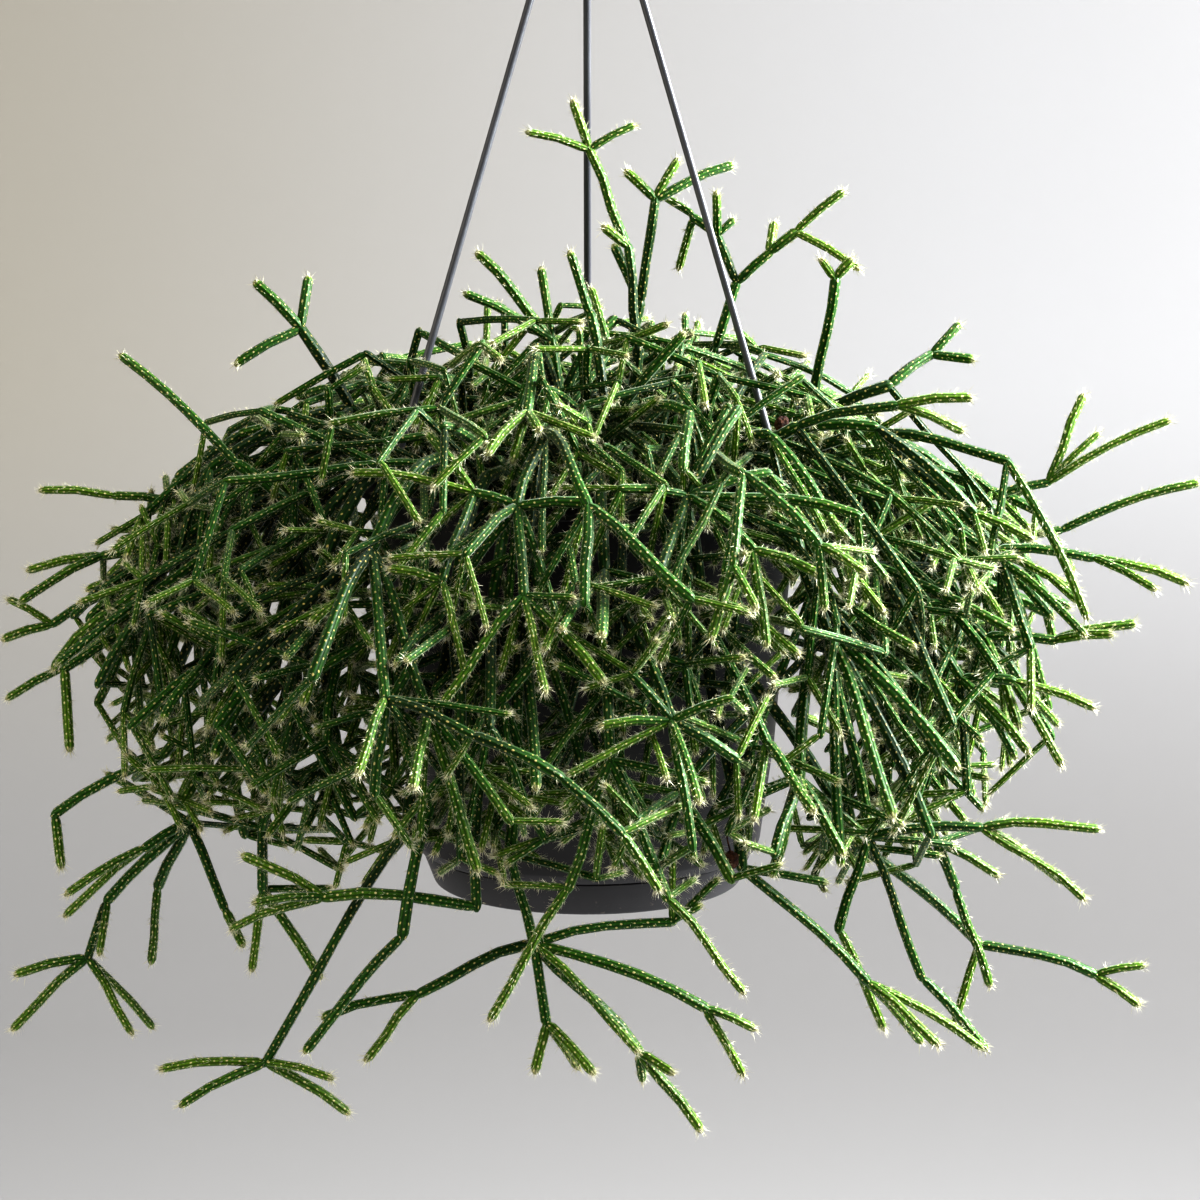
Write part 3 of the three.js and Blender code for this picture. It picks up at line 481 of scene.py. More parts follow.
def branch_out(stems, tips, plant_part, wanted, most_droop, draw, growth=SOURCE_GROWTH):
    """Adds branches to the tips of a plant part until it holds the wanted number of stems.

    Each part keeps to the mound with an inset of its own, so that the mound's surface is uneven.
    """
    queue = list(tips)
    inset = draw(*growth["insets"])
    while queue and len(stems) < wanted:
        parent = queue.pop(0)
        level = min(parent.level + 1, len(LEVELS) - 1)
        rule = LEVELS[parent.level]
        count = math.floor(draw(rule["fewest"], rule["most"] + 0.999))
        spin = draw(0, 360)
        heart_height = HEART_HEIGHT * growth["heart"] + parent.end[2] * (1 - growth["heart"])
        outward = unit(minus(parent.end, (0, 0, heart_height)))
        for i in range(count):
            if len(stems) >= wanted:
                break
            for _ in range(growth["tries"]):
                turn = growth["turn"] * rule["turn"] * draw(0.6, 1.4)
                turned = turned_from(end_heading(parent), turn, spin + (360 * i) / count + draw(-25, 25))
                heading = unit(add(turned, times(outward, growth["pull"])))
                length = draw(LEVELS[level]["shortest"], LEVELS[level]["longest"])
                droop = draw(0.02, most_droop)
                stem = drooping_stem(parent.end, heading, length, droop, level)
                if growth["bounds"](stem.end, inset) and is_clear(stem, plant_part, growth["clearance"]):
                    occupy(stem, plant_part)
                    stem.parent = parent
                    stems.append(stem)
                    queue.append(stem)
                    break


def bow_over_rim(start, end):
    """How much a main stem bows to pass over the pot's rim."""
    begins = math.sqrt(start[0] * start[0] + start[1] * start[1])
    ends = math.sqrt(end[0] * end[0] + end[1] * end[1])
    least = MAIN_BOW * abs(ends - begins)
    if ends < RIM_RADIUS:
        return least
    t = (RIM_RADIUS - 4 - begins) / (ends - begins)
    straight = start[2] + t * (end[2] - start[2])
    return max(least, (RIM_HEIGHT + RIM_PASS - straight) / (4 * t * (1 - t)))


def shown_stems(azimuth, distance, path):
    """The stems of one shown plant part, read from its nested points."""
    stems = []

    def visit(begin, nested, depth, parent):
        end = tuple(nested[:3])
        branches = nested[3:]
        level = min(depth, len(LEVELS) - 2 if branches else len(LEVELS) - 1)
        run = minus(end, begin)
        reach = math.sqrt(run[0] * run[0] + run[1] * run[1])
        bow = bow_over_rim(begin, end) if depth == 0 else BRANCH_BOW * reach
        stem = Stem(begin, end, bow, level, parent)
        stems.append(stem)
        for branch in branches:
            visit(end, branch, depth + 1, stem)

    visit(around(azimuth, distance, SOIL_HEIGHT - ROOT_DEPTH), path, 0, None)
    return stems


root_places = []


def grown_main_stem(
    plant_part, draw, rule, tries=MAIN_TRIES, spacing=ROOT_SPACING, clearance=STEM_CLEARANCE
):
    """The first clear main stem among tries, each with a lean, a droop and a length of its own."""
    for _ in range(tries):
        direction = rule["azimuth"] + draw(-20, 20)
        start = around(direction, rule["distance"] + draw(-9, 5), SOIL_HEIGHT - ROOT_DEPTH)
        tilt = radians(rule["lean"] + draw(-9, 9))
        heading = around(direction + draw(-12, 12), math.sin(tilt), math.cos(tilt))
        length = rule["length"] * draw(0.88, 1.12)
        stem = drooping_stem(start, heading, length, rule["droop"] * draw(0.6, 1.4), 0)
        root_is_free = all(size(minus(root, start)) > spacing for root in root_places)
        ends_inside = may_reach(stem.end, MAIN_INSET)
        if ends_inside and root_is_free and is_clear(stem, plant_part, clearance):
            return stem
    return None


def flower_centre(stems, flower):
    """The middle of a dried flower that clings to the side of a stem."""
    stem = stems[flower["stem"]]
    share = flower["share"]
    run = minus(stem.end, stem.start)
    on_stem = add(add(stem.start, times(run, share)), (0, 0, stem.bow * 4 * share * (1 - share)))
    along = unit(add(run, (0, 0, stem.bow * 4 * (1 - 2 * share))))
    outward = unit(minus(flower["side"], times(along, dot(flower["side"], along))))
    distance = FLOWER_SEAT * (LEVELS[stem.level]["radius"] * SECTION_SWELL + DRIED_FLOWER_RADIUS) + GAP
    return add(on_stem, times(outward, distance))


def families_of_stems():
    """The families that grow by a rule: name, rule, how many branches, and how far those droop."""
    families = []
    for i, azimuth in enumerate(FRONT_AZIMUTHS):
        rule = {"azimuth": azimuth, "distance": 30, "lean": 40, "droop": 0.3, "length": 72}
        families.append((f"front_{i + 1:02d}", rule, BACK_EXTRAS, 0.3))
    for i in range(BACK_STEMS):
        azimuth = BACK_FROM + ((BACK_TO - BACK_FROM) * i) / (BACK_STEMS - 1)
        far = i % 2 == 0
        rule = {
            "azimuth": azimuth,
            "distance": 45 if far else 32,
            "lean": 40 if far else 33,
            "droop": 0.34 if far else 0.28,
            "length": 86 if far else 68,
        }
        families.append((f"back_{i + 1:02d}", rule, BACK_EXTRAS, 0.24))
    for i in range(CROWN_STEMS):
        distance = 12 + (24 * i) / CROWN_STEMS
        rule = {
            "azimuth": i * GOLDEN_ANGLE,
            "distance": distance,
            "lean": 14 + 3 * i,
            "droop": 0.06,
            "length": 27,
        }
        families.append((f"crown_{i + 1:02d}", rule, CROWN_EXTRAS, 0.1))
    return families


def plant_stems():
    """Plants every stem of the part's source, and gives the stems of each plant part by its name."""
    parts = {}
    for name, (azimuth, distance, path) in SHOWN_STEMS.items():
        stems = shown_stems(azimuth, distance, path)
        root_places.append(stems[0].start)
        for stem in stems:
            occupy(stem, name)
        parts[name] = stems
    for name, flower in DRIED_FLOWERS.items():
        occupy_point(flower_centre(parts[flower["on"]], flower), name)
    families = families_of_stems()
    for i, (name, rule, _, _) in enumerate(families):
        main = grown_main_stem(name, draws_from(FIRST_SEED + 97 * i), rule)
        if main is not None:
            root_places.append(main.start)
            occupy(main, name)
            parts[name] = [main]
    grown = [family for family in families if family[0] in parts]
    for i, (name, _, extras, most_droop) in enumerate(grown):
        stems = parts[name]
        draw = draws_from(FIRST_SEED + 3001 + 61 * i)
        branch_out(stems, stems, name, len(stems) + extras, most_droop, draw)
    for i, name in enumerate(SHOWN_STEMS):
        stems = parts[name]
        joints = [stem for stem in stems if stem.level < 2]
        draw = draws_from(FIRST_SEED + 6007 + 89 * i)
        branch_out(stems, joints, name, len(stems) + SHOWN_EXTRAS, 0.4, draw)
    return parts


def fill_branches(stems, joints, name, wanted, most_droop, draw, growth):
    """Slim branches of the dense mound, which may pass close to each other."""
    first = len(stems)
    branch_out(stems, joints, name, wanted, most_droop, draw, growth)
    for stem in stems[first:]:
        stem.width = FILL_WIDTH


def fill_rule(kind, i, share, draw):
    """How one slim main stem of a kind grows, of which share of them stand already."""
    fill = FILLS[kind]
    if kind == "crown":
        distance = CROWN_INNER + CROWN_SPREAD * math.sqrt(share)
        lean = CROWN_LEAST_LEAN + CROWN_LEAN * distance
        droop = CROWN_DROOP
    else:
        nearest, farthest = fill["distances"]
        distance = nearest + (farthest - nearest) * share
        lean = draw(*fill["lean"])
        droop = draw(*fill["droop"])
    length = draw(*fill["length"])
    return {
        "azimuth": i * GOLDEN_ANGLE,
        "distance": distance,
        "lean": lean,
        "droop": droop,
        "length": length,
    }


def fill_mound(parts):
    """Plants slim stems between the roots, and adds branches to every plant part."""
    source = list(parts.items())
    for number in range(FILL_PASSES):
        for i, (name, stems) in enumerate(source):
            draw = draws_from(FILL_SEED + 53 * i + 977 * number)
            joints = [stem for stem in stems if stem.level < 3 and may_reach(stem.end, FILL_JOINT_INSET)]
            wanted = len(stems) + FILL_EXTRAS
            fill_branches(stems, joints, name, wanted, FILL_MOST_DROOP, draw, FILL_GROWTH)
    for kind, fill in FILLS.items():
        for i in range(fill["stems"]):
            name = f"{kind}_fill_{i + 1:03d}"
            draw = draws_from(FILL_SEED + 7001 + 71 * i + len(kind))
            rule = fill_rule(kind, i, i / fill["stems"], draw)
            to_the_side = abs(math.cos(radians(rule["azimuth"]))) > SIDE_SHARE
            if kind == ("skirt" if to_the_side else "side"):
                continue
            main = grown_main_stem(name, draw, rule, FILL_TRIES, FILL_ROOT_SPACING, FILL_MAIN_CLEARANCE)
            if main is None:
                continue
            main.width = FILL_WIDTH
            root_places.append(main.start)
            occupy(main, name)
            parts[name] = [main]
            branches = (fill["extras"], fill["most_droop"], draw, fill["growth"])
            fill_branches(parts[name], [main], name, *branches)


# Meshes

RING_SPACING = 11
SLIM_RING_SPACING = 16
BASE_LENGTH = 2.5
TIP_LENGTH = 2.2
JOINT_OVERLAP = 1.6
STEM_SIDES = 8
SLIM_STEM_SIDES = 6
AREOLE_RIBS = 8
AREOLE_PITCH = 3.9
MAP_LAYER = "lengthwise"
AGE_LAYER = "youth"
LEVEL_YOUTH = (0.12, 0.3, 0.55, 0.8)
PALE_YOUTH = 1.6

# Bristles on an areole of the oldest and of the youngest stems, on a stem's end and on a joint.
BRISTLES_OLD = 1.1
BRISTLES_YOUNG = 3.2
SLIM_BRISTLE_SHARE = 0.7
TUFT_BRISTLES = 46
TUFT_SPREAD = 0.5
JOINT_BRISTLES = 9
JOINT_BRISTLE_REACH = 2.2
JOINT_BRISTLE_SPREAD = 0.9
BRISTLE_HALF_WIDTH = 0.07
TUFT_HALF_WIDTH = 0.1
SKIN, BRISTLE = 0, 1


class Surface:
    """Points and triangles with their map, youth and finish, gathered before they become one mesh."""

    def __init__(self):
        self.points = []
        self.corners = []
        self.maps = []
        self.youths = []
        self.finishes = []
        self.count = 0

    def gather(self, points, corners, maps, youths, finish):
        self.points.append(points)
        self.corners.append(corners + self.count)
        self.maps.append(maps)
        self.youths.append(np.broadcast_to(youths, len(points)))
        self.finishes.append(np.full(len(corners), finish, dtype=np.int32))
        self.count += len(points)

    def as_object(self, name, materials, smooth=True):
        points = place(np.concatenate(self.points)).astype(np.float32)
        corners = np.concatenate(self.corners).astype(np.int32)
        mesh = bpy.data.meshes.new(name)
        mesh.vertices.add(len(points))
        mesh.vertices.foreach_set("co", points.ravel())
        mesh.loops.add(corners.size)
        mesh.loops.foreach_set("vertex_index", corners.ravel())
        mesh.polygons.add(len(corners))
        mesh.polygons.foreach_set("loop_start", np.arange(0, corners.size, 3, dtype=np.int32))
        mesh.polygons.foreach_set("material_index", np.concatenate(self.finishes))
        mesh.polygons.foreach_set("use_smooth", np.full(len(corners), smooth))
        mesh.update(calc_edges=True)
        layer = mesh.uv_layers.new(name=MAP_LAYER)
        layer.uv.foreach_set("vector", np.concatenate(self.maps).astype(np.float32).ravel())
        youth = mesh.attributes.new(AGE_LAYER, "FLOAT", "POINT")
        youth.data.foreach_set("value", np.concatenate(self.youths).astype(np.float32))
        for material in materials:
            mesh.materials.append(material)
        piece = bpy.data.objects.new(name, mesh)
        bpy.context.scene.collection.objects.link(piece)
        return piece


def normalised(vectors):
    return vectors / np.linalg.norm(vectors, axis=-1, keepdims=True)


def sides_along(along):
    """A side vector for each direction of a line, carried along it without twist."""
    helper = np.array((1.0, 0, 0) if abs(along[0][2]) > 0.9 else (0, 0, 1.0))
    side = np.cross(along[0], helper)
    sides = []
    for direction in along:
        side = side - direction * np.dot(side, direction)
        side = side / np.linalg.norm(side)
        sides.append(side)
    return np.array(sides)


def swept(line, radii, sides, start_is_closed=True):
    """A round tube along a line, with a radius at each point: its points, triangles and map."""
    line = np.asarray(line, dtype=float)
    radii = np.asarray(radii, dtype=float)
    rings = len(line)
    along = normalised(np.gradient(line, axis=0))
    side = sides_along(along)
    over = np.cross(along, side)
    angle = 2 * np.pi * np.arange(sides) / sides
    circle = np.cos(angle)[None, :, None] * side[:, None, :]
    circle = circle + np.sin(angle)[None, :, None] * over[:, None, :]
    points = (line[:, None, :] + radii[:, None, None] * circle).reshape(-1, 3)
    points = np.vstack([points, line[-1], line[0]])
    length = np.concatenate([[0], np.cumsum(np.linalg.norm(np.diff(line, axis=0), axis=1))])

    ring, k = np.meshgrid(np.arange(rings - 1), np.arange(sides), indexing="ij")
    ring, k = ring.ravel(), k.ravel()
    following = (k + 1) % sides
    a, b = ring * sides + k, ring * sides + following
    c, d = b + sides, a + sides
    corners = np.concatenate([np.stack([a, b, c], 1), np.stack([a, c, d], 1)])
    low_map = np.stack([k / sides, length[ring]], 1)
    side_map = np.stack([(k + 1) / sides, length[ring]], 1)
    far_map = np.stack([(k + 1) / sides, length[ring + 1]], 1)
    high_map = np.stack([k / sides, length[ring + 1]], 1)
    halves = ((low_map, side_map, far_map), (low_map, far_map, high_map))
    maps = np.concatenate([np.stack(half, 1) for half in halves])

    k = np.arange(sides)
    last = (rings - 1) * sides
    end_fan = np.stack([last + k, last + (k + 1) % sides, np.full(sides, rings * sides)], 1)
    end_map = np.stack([k / sides, (k + 1) / sides, (k + 0.5) / sides], 1)
    end_map = np.stack([end_map, np.full(end_map.shape, length[-1])], 2)
    corners = np.concatenate([corners, end_fan])
    maps = np.concatenate([maps, end_map])
    if start_is_closed:
        start_fan = np.stack([(k + 1) % sides, k, np.full(sides, rings * sides + 1)], 1)
        corners = np.concatenate([corners, start_fan])
        maps = np.concatenate([maps, end_map * (1, 0)])
    return points, corners, maps


# Stems in fine form

class FineStem:
    """The centre line, radii and youth of one stem, as the fine mesh and its bristles need them."""

    def __init__(self, stem, has_branches, draw):
        self.bow = stem.bow
        self.start = np.array(stem.start)
        if stem.parent is not None:
            self.start = self.start - JOINT_OVERLAP * np.array(end_heading(stem.parent))
        self.end = np.array(stem.end)
        self.run = self.end - self.start
        self.length = float(np.linalg.norm(self.run))
        self.radius = LEVELS[stem.level]["radius"] * stem.width * draw(0.84, 1.04)
        self.is_slim = stem.width < 1
        self.is_tip = not has_branches
        sideways = np.cross(self.run, (draw(-1, 1), draw(-1, 1), draw(-1, 1)))
        self.wander = sideways / np.linalg.norm(sideways) * self.length * draw(0.004, 0.022)
        youth = LEVEL_YOUTH[stem.level] + draw(-0.25, 0.25) + (0.12 if self.is_tip else -0.1)
        self.youth = min(1.0, max(0.0, youth))

    def centre(self, t):
        t = np.asarray(t)[:, None]
        rise = 4 * t * (1 - t)
        sway = np.sin(2 * np.pi * t)
        return self.start + self.run * t + rise * np.array((0, 0, self.bow)) + sway * self.wander

    def ring_shares(self):
        spacing = SLIM_RING_SPACING if self.is_slim else RING_SPACING
        count = max(2, round(self.length / spacing) + 1)
        middle = np.linspace(BASE_LENGTH, self.length - TIP_LENGTH, count)
        ends = [self.length - 0.4 * TIP_LENGTH, self.length]
        return np.concatenate([[0], middle, ends]) / self.length

    def youths(self, sides):
        """The youth at each point of the skin: more towards the tip, and pale on a tip's end."""
        line = self.youth + 0.3 * (self.ring_shares() - 0.5)
        if self.is_tip:
            line[-2:] = PALE_YOUTH
        return np.concatenate([np.repeat(line, sides), [line[-1], line[0]]])

    def radii(self, draw):
        middle = [self.radius * draw(0.94, 1.06) for _ in self.ring_shares()[1:-2]]
        return [0.6 * self.radius, *middle, 0.76 * self.radius, 0.3 * self.radius]


def hairs(bases, directions, lengths, widths, turns):
    """Thin hairs, one narrow triangle each, that stand on their bases and point along their directions."""
    helper = np.where(np.abs(directions[:, 2:3]) > 0.9, (1.0, 0, 0), (0, 0, 1.0))
    side = normalised(np.cross(directions, helper))
    over = np.cross(directions, side)
    across = widths[:, None] * (np.cos(turns)[:, None] * side + np.sin(turns)[:, None] * over)
    tips = bases + directions * lengths[:, None]
    points = np.stack([bases - across, bases + across, tips], 1).reshape(-1, 3)
    triangles = np.arange(len(points)).reshape(-1, 3)
    return points, triangles


def areole_bristles(stem, generator):
    """Where the bristles of one stem stand, and where they point: bases, directions and lengths."""
    rows = np.arange(int((stem.length - BASE_LENGTH) / AREOLE_PITCH))
    rib, row = np.meshgrid(np.arange(AREOLE_RIBS), rows, indexing="ij")
    rib, row = rib.ravel(), row.ravel()
    distance = (row + 1.5 - 0.5 * (rib % 2)) * AREOLE_PITCH
    mean = BRISTLES_OLD + (BRISTLES_YOUNG - BRISTLES_OLD) * stem.youth
    each = generator.poisson(mean * (SLIM_BRISTLE_SHARE if stem.is_slim else 1), len(distance))
    distance = np.repeat(distance, each)
    rib = np.repeat(rib, each)
    inside = distance < stem.length - 1
    distance, rib = distance[inside], rib[inside]
    count = len(distance)
    share = distance / stem.length
    step = 0.5 / stem.length
    along = normalised(stem.centre(share + step) - stem.centre(share - step))
    line_sides = sides_along(normalised(np.gradient(stem.centre(stem.ring_shares()), axis=0)))
    reference = line_sides[np.searchsorted(stem.ring_shares(), share).clip(0, len(line_sides) - 1)]
    side = normalised(reference - along * np.sum(reference * along, axis=1, keepdims=True))
    over = np.cross(along, side)
    angle = (2 * np.pi * (rib + 0.5) / AREOLE_RIBS + generator.normal(0, 0.12, count))[:, None]
    outward = np.cos(angle) * side + np.sin(angle) * over
    bases = stem.centre(share) + outward * stem.radius * 0.9 + along * generator.normal(0, 0.25, (count, 1))
    lean = generator.uniform(0.1, 0.9 + 0.6 * stem.youth, (count, 1))
    directions = normalised(outward + lean * along + generator.normal(0, 0.28, (count, 3)))
    lengths = generator.uniform(0.6, 1.3, count) * (1.1 + 1.1 * stem.youth)
    return bases, directions, lengths


def tuft(stem, generator, count, reach, spread):
    """The bristles that stand in a brush on the end of a stem."""
    heading = normalised(stem.centre([1.0])[0] - stem.centre([1 - 1 / stem.length])[0])
    scatter = generator.normal(0, 1, (count, 3))
    outward = scatter - heading * (scatter @ heading)[:, None]
    bases = stem.end + outward * 0.36 * stem.radius - heading * generator.uniform(0.2, 3.4, (count, 1))
    directions = normalised(heading + spread * outward)
    lengths = generator.uniform(0.55, 1.15, count) * reach
    return bases, directions, lengths


def stem_piece(name, plant_parts, seed):
    """One piece for several plant parts: their fine stems, and the bristles on them."""
    draw = draws_from(seed)
    generator = np.random.default_rng(seed)
    surface = Surface()
    hair_lists = []
    for stems in plant_parts:
        parents = {id(stem.parent) for stem in stems}
        for stem in stems:
            fine = FineStem(stem, id(stem) in parents, draw)
            line = fine.centre(fine.ring_shares())
            sides = SLIM_STEM_SIDES if fine.is_slim else STEM_SIDES
            points, corners, maps = swept(line, fine.radii(draw), sides, start_is_closed=False)
            surface.gather(points, corners, maps * (1, 1 / AREOLE_PITCH), fine.youths(sides), SKIN)
            brushes = [areole_bristles(fine, generator)]
            if fine.is_tip:
                reach = 1.9 + 1.3 * fine.youth
                brushes.append(tuft(fine, generator, TUFT_BRISTLES, reach, TUFT_SPREAD))
            else:
                reach = JOINT_BRISTLE_REACH
                brushes.append(tuft(fine, generator, JOINT_BRISTLES, reach, JOINT_BRISTLE_SPREAD))
            half_widths = (BRISTLE_HALF_WIDTH, TUFT_HALF_WIDTH)
            for brush, youth, width in zip(brushes, (fine.youth, 1.0), half_widths):
                count = len(brush[0])
                hair_lists.append((*brush, np.full(count, youth), np.full(count, width)))
    bases, directions, lengths, youths, widths = (np.concatenate(values) for values in zip(*hair_lists))
    widths = widths * generator.uniform(0.7, 1.3, len(bases))
    turns = generator.uniform(0, 2 * np.pi, len(bases))
    points, triangles = hairs(bases, directions, lengths, widths, turns)
    maps = np.zeros((len(triangles), 3, 2))
    surface.gather(points, triangles, maps, np.repeat(youths, 3), BRISTLE)
    return surface.as_object(name, [skin_material, bristle_material])


# Materials

OLD_GREEN = (0.004, 0.026, 0.001)
MIDDLE_GREEN = (0.024, 0.110, 0.003)
YOUNG_GREEN = (0.130, 0.250, 0.014)
TIP_GREEN = (0.44, 0.45, 0.22)
SPECKLE_GREEN = (0.003, 0.020, 0.001)
# Painted shade in the grooves between the ribs.
GROOVE_SHADE_GREEN = (0.002, 0.014, 0.001)
OLD_AREOLE = (0.46, 0.36, 0.12)
YOUNG_AREOLE = (0.74, 0.66, 0.34)
OLD_BRISTLE = (0.42, 0.38, 0.20)
YOUNG_BRISTLE = (0.80, 0.78, 0.62)
DULL_BRISTLE = (0.70, 0.66, 0.45)
SHEEN_TINT = (0.92, 0.97, 0.90)
DARK_POT = (0.020, 0.019, 0.022)
WORN_POT = (0.034, 0.033, 0.037)
DARK_HANGER = (0.050, 0.052, 0.060)
WORN_HANGER = (0.075, 0.078, 0.088)
DUST = (0.22, 0.19, 0.15)
DARK_PEAT = (0.012, 0.008, 0.005)
DRY_PEAT = (0.085, 0.052, 0.030)
DARK_PETAL = (0.020, 0.006, 0.004)
DRY_PETAL = (0.120, 0.045, 0.022)
# Painted warm shade on the left of the room and painted cool light on the right.
SHADED_WALL_LEFT = (0.418, 0.388, 0.330)
LIT_WALL_RIGHT = (0.62, 0.62, 0.635)
# Painted shade on the floor.
SHADED_FLOOR_GREY = (0.36, 0.352, 0.352)
CLOUD_GREY = (0.48, 0.48, 0.48)
RIB_WIDTH = 1.6


class Paint:
    """A new material, and short steps that add nodes to it. A value is a number, a colour or an output."""

    def __init__(self, name):
        self.material = bpy.data.materials.new(name)
        self.material.use_nodes = True
        self.tree = self.material.node_tree
        self.shader = self.tree.nodes["Principled BSDF"]

    def node(self, kind):
        return self.tree.nodes.new(kind)

    def plug(self, socket, value):
        """Gives a value to a socket, or to the shader's input of that name."""
        if isinstance(socket, str):
            socket = self.shader.inputs[socket]
        if isinstance(value, bpy.types.NodeSocket):
            self.tree.links.new(value, socket)
        elif isinstance(value, tuple):
            socket.default_value = (*value, 1.0)
        else:
            socket.default_value = value

    def calculated(self, operation, *values):
        node = self.node("ShaderNodeMath")
        node.operation = operation
        for socket, value in zip(node.inputs, values):
            self.plug(socket, value)
        return node.outputs[0]

    def mixed(self, factor, first, second):
        node = self.node("ShaderNodeMix")
        node.data_type = "RGBA"
        self.plug(node.inputs["Factor"], factor)
        self.plug(node.inputs[6], first)
        self.plug(node.inputs[7], second)
        return node.outputs[2]

    def ranged(self, value, low, high, to_low=0.0, to_high=1.0):
        """A value carried smoothly from one range to another, and held at its ends."""
        node = self.node("ShaderNodeMapRange")
        node.interpolation_type = "SMOOTHSTEP"
        for name, number in (("From Min", low), ("From Max", high), ("To Min", to_low), ("To Max", to_high)):
            self.plug(node.inputs[name], number)
        self.plug(node.inputs["Value"], value)
        return node.outputs["Result"]

    def place(self):
        """The place on the object."""
        return self.node("ShaderNodeTexCoord").outputs["Object"]

    def split(self, vector):
        node = self.node("ShaderNodeSeparateXYZ")
        self.plug(node.inputs[0], vector)
        return node.outputs

    def noise(self, scale, detail=2.0, roughness=0.5):
        """Noise in the object's own space, as many waves to the metre as the scale says."""
        node = self.node("ShaderNodeTexNoise")
        self.plug(node.inputs["Scale"], scale)
        self.plug(node.inputs["Detail"], detail)
        self.plug(node.inputs["Roughness"], roughness)
        self.plug(node.inputs["Vector"], self.place())
        return node.outputs[0]

    def youth(self):
        node = self.node("ShaderNodeAttribute")
        node.attribute_name = AGE_LAYER
        return node.outputs["Fac"]

    def bumped(self, height, distance, strength=1.0):
        node = self.node("ShaderNodeBump")
        self.plug(node.inputs["Strength"], strength)
        self.plug(node.inputs["Distance"], distance)
        self.plug(node.inputs["Height"], height)
        self.plug("Normal", node.outputs["Normal"])


def green_of(paint, youth):
    """Green that is dark on old stems, pale on the tips and uneven in patches."""
    patches = paint.calculated("SUBTRACT", paint.noise(45, 1), 0.5)
    aged = paint.calculated("ADD", youth, paint.calculated("MULTIPLY", patches, 0.9))
    green = paint.mixed(paint.ranged(aged, -0.1, 0.5), OLD_GREEN, MIDDLE_GREEN)
    green = paint.mixed(paint.ranged(aged, 0.5, 1.15), green, YOUNG_GREEN)
    return paint.mixed(paint.ranged(aged, 1.2, 1.6), green, TIP_GREEN)


def skin_of_stems():
    """Green skin with shallow grooves between its ribs, painted shade that darkens those grooves, and cream
    areoles in staggered rows.
    """
    paint = Paint("stem_skin")
    youth = paint.youth()
    grain = paint.noise(900, 0)
    green = green_of(paint, youth)
    green = paint.mixed(paint.ranged(grain, 0.35, 0.75, 0.0, 0.4), green, SPECKLE_GREEN)

    unwrapped = paint.node("ShaderNodeUVMap")
    unwrapped.uv_map = MAP_LAYER
    split = paint.split(unwrapped.outputs["UV"])
    across = paint.calculated("MULTIPLY", split["X"], AREOLE_RIBS)
    odd = paint.calculated("MODULO", paint.calculated("FLOOR", across), 2.0)
    shift = paint.calculated("MULTIPLY", paint.noise(120, 0), 0.9)
    stagger = paint.calculated("ADD", paint.calculated("MULTIPLY", odd, 0.5), shift)
    lengthwise = paint.calculated("ADD", split["Y"], stagger)
    from_rib = paint.calculated("SUBTRACT", paint.calculated("FRACT", across), 0.5)
    from_row = paint.calculated("SUBTRACT", paint.calculated("FRACT", lengthwise), 0.5)
    across_mm = paint.calculated("MULTIPLY", from_rib, RIB_WIDTH)
    along_mm = paint.calculated("MULTIPLY", from_row, AREOLE_PITCH)
    squares = [paint.calculated("POWER", way, 2.0) for way in (across_mm, along_mm)]
    distance = paint.calculated("SQRT", paint.calculated("ADD", *squares))
    spread = paint.calculated("MULTIPLY", paint.noise(260, 0), 0.36)
    areole = paint.ranged(paint.calculated("ADD", distance, spread), 0.40, 0.62, 1.0, 0.0)
    cream = paint.mixed(youth, OLD_AREOLE, YOUNG_AREOLE)
    rib = paint.ranged(paint.calculated("ABSOLUTE", across_mm), 0.0, RIB_WIDTH / 2, 1.0, 0.0)
    # Painted shade: towards the groove between two ribs the green is darkened to a deep green.
    groove_shaded = paint.mixed(paint.ranged(rib, 0.0, 0.7, 0.6, 0.0), green, GROOVE_SHADE_GREEN)
    paint.plug("Base Color", paint.mixed(areole, groove_shaded, cream))

    paint.bumped(rib, 0.0003, 0.6)
    paint.plug("Roughness", paint.ranged(grain, 0.2, 0.8, 0.40, 0.60))
    paint.plug("Specular IOR Level", 0.22)
    paint.plug("Sheen Weight", 0.2)
    paint.plug("Sheen Roughness", 0.4)
    paint.plug("Sheen Tint", SHEEN_TINT)
    return paint.material


def bristle_hair():
    """Cream to white bristles, a little duller on old stems."""
    paint = Paint("bristles")
    hue = paint.mixed(paint.youth(), OLD_BRISTLE, YOUNG_BRISTLE)
    paint.plug("Base Color", paint.mixed(paint.noise(300, 0), hue, DULL_BRISTLE))
    paint.plug("Roughness", 0.55)
    return paint.material


def moulded_plastic(name, base, worn, roughness, speck=0.0):
    """Moulded plastic with a fine grain, faint streaks and a little dust."""
    paint = Paint(name)
    cloud = paint.noise(22, 4, 0.6)
    hue = paint.mixed(paint.ranged(cloud, 0.42, 0.72), base, worn)
    if speck:
        dust = paint.ranged(paint.noise(420, 3, 0.7), 0.64, 0.74, 0.0, speck)
        hue = paint.mixed(dust, hue, DUST)
    paint.plug("Base Color", hue)
    paint.plug("Roughness", paint.ranged(cloud, 0.3, 0.75, roughness - 0.06, roughness + 0.1))
    paint.bumped(paint.noise(1500, 2), 0.00006, 0.5)
    return paint.material


def crumbled(name, noise, dark, dry, spread, relief, roughness):
    """Rough dark matter with lighter crumbs or creases."""
    paint = Paint(name)
    crumbs = paint.noise(*noise)
    paint.plug("Base Color", paint.mixed(paint.ranged(crumbs, *spread), dark, dry))
    paint.bumped(crumbs, relief)
    paint.plug("Roughness", roughness)
    return paint.material


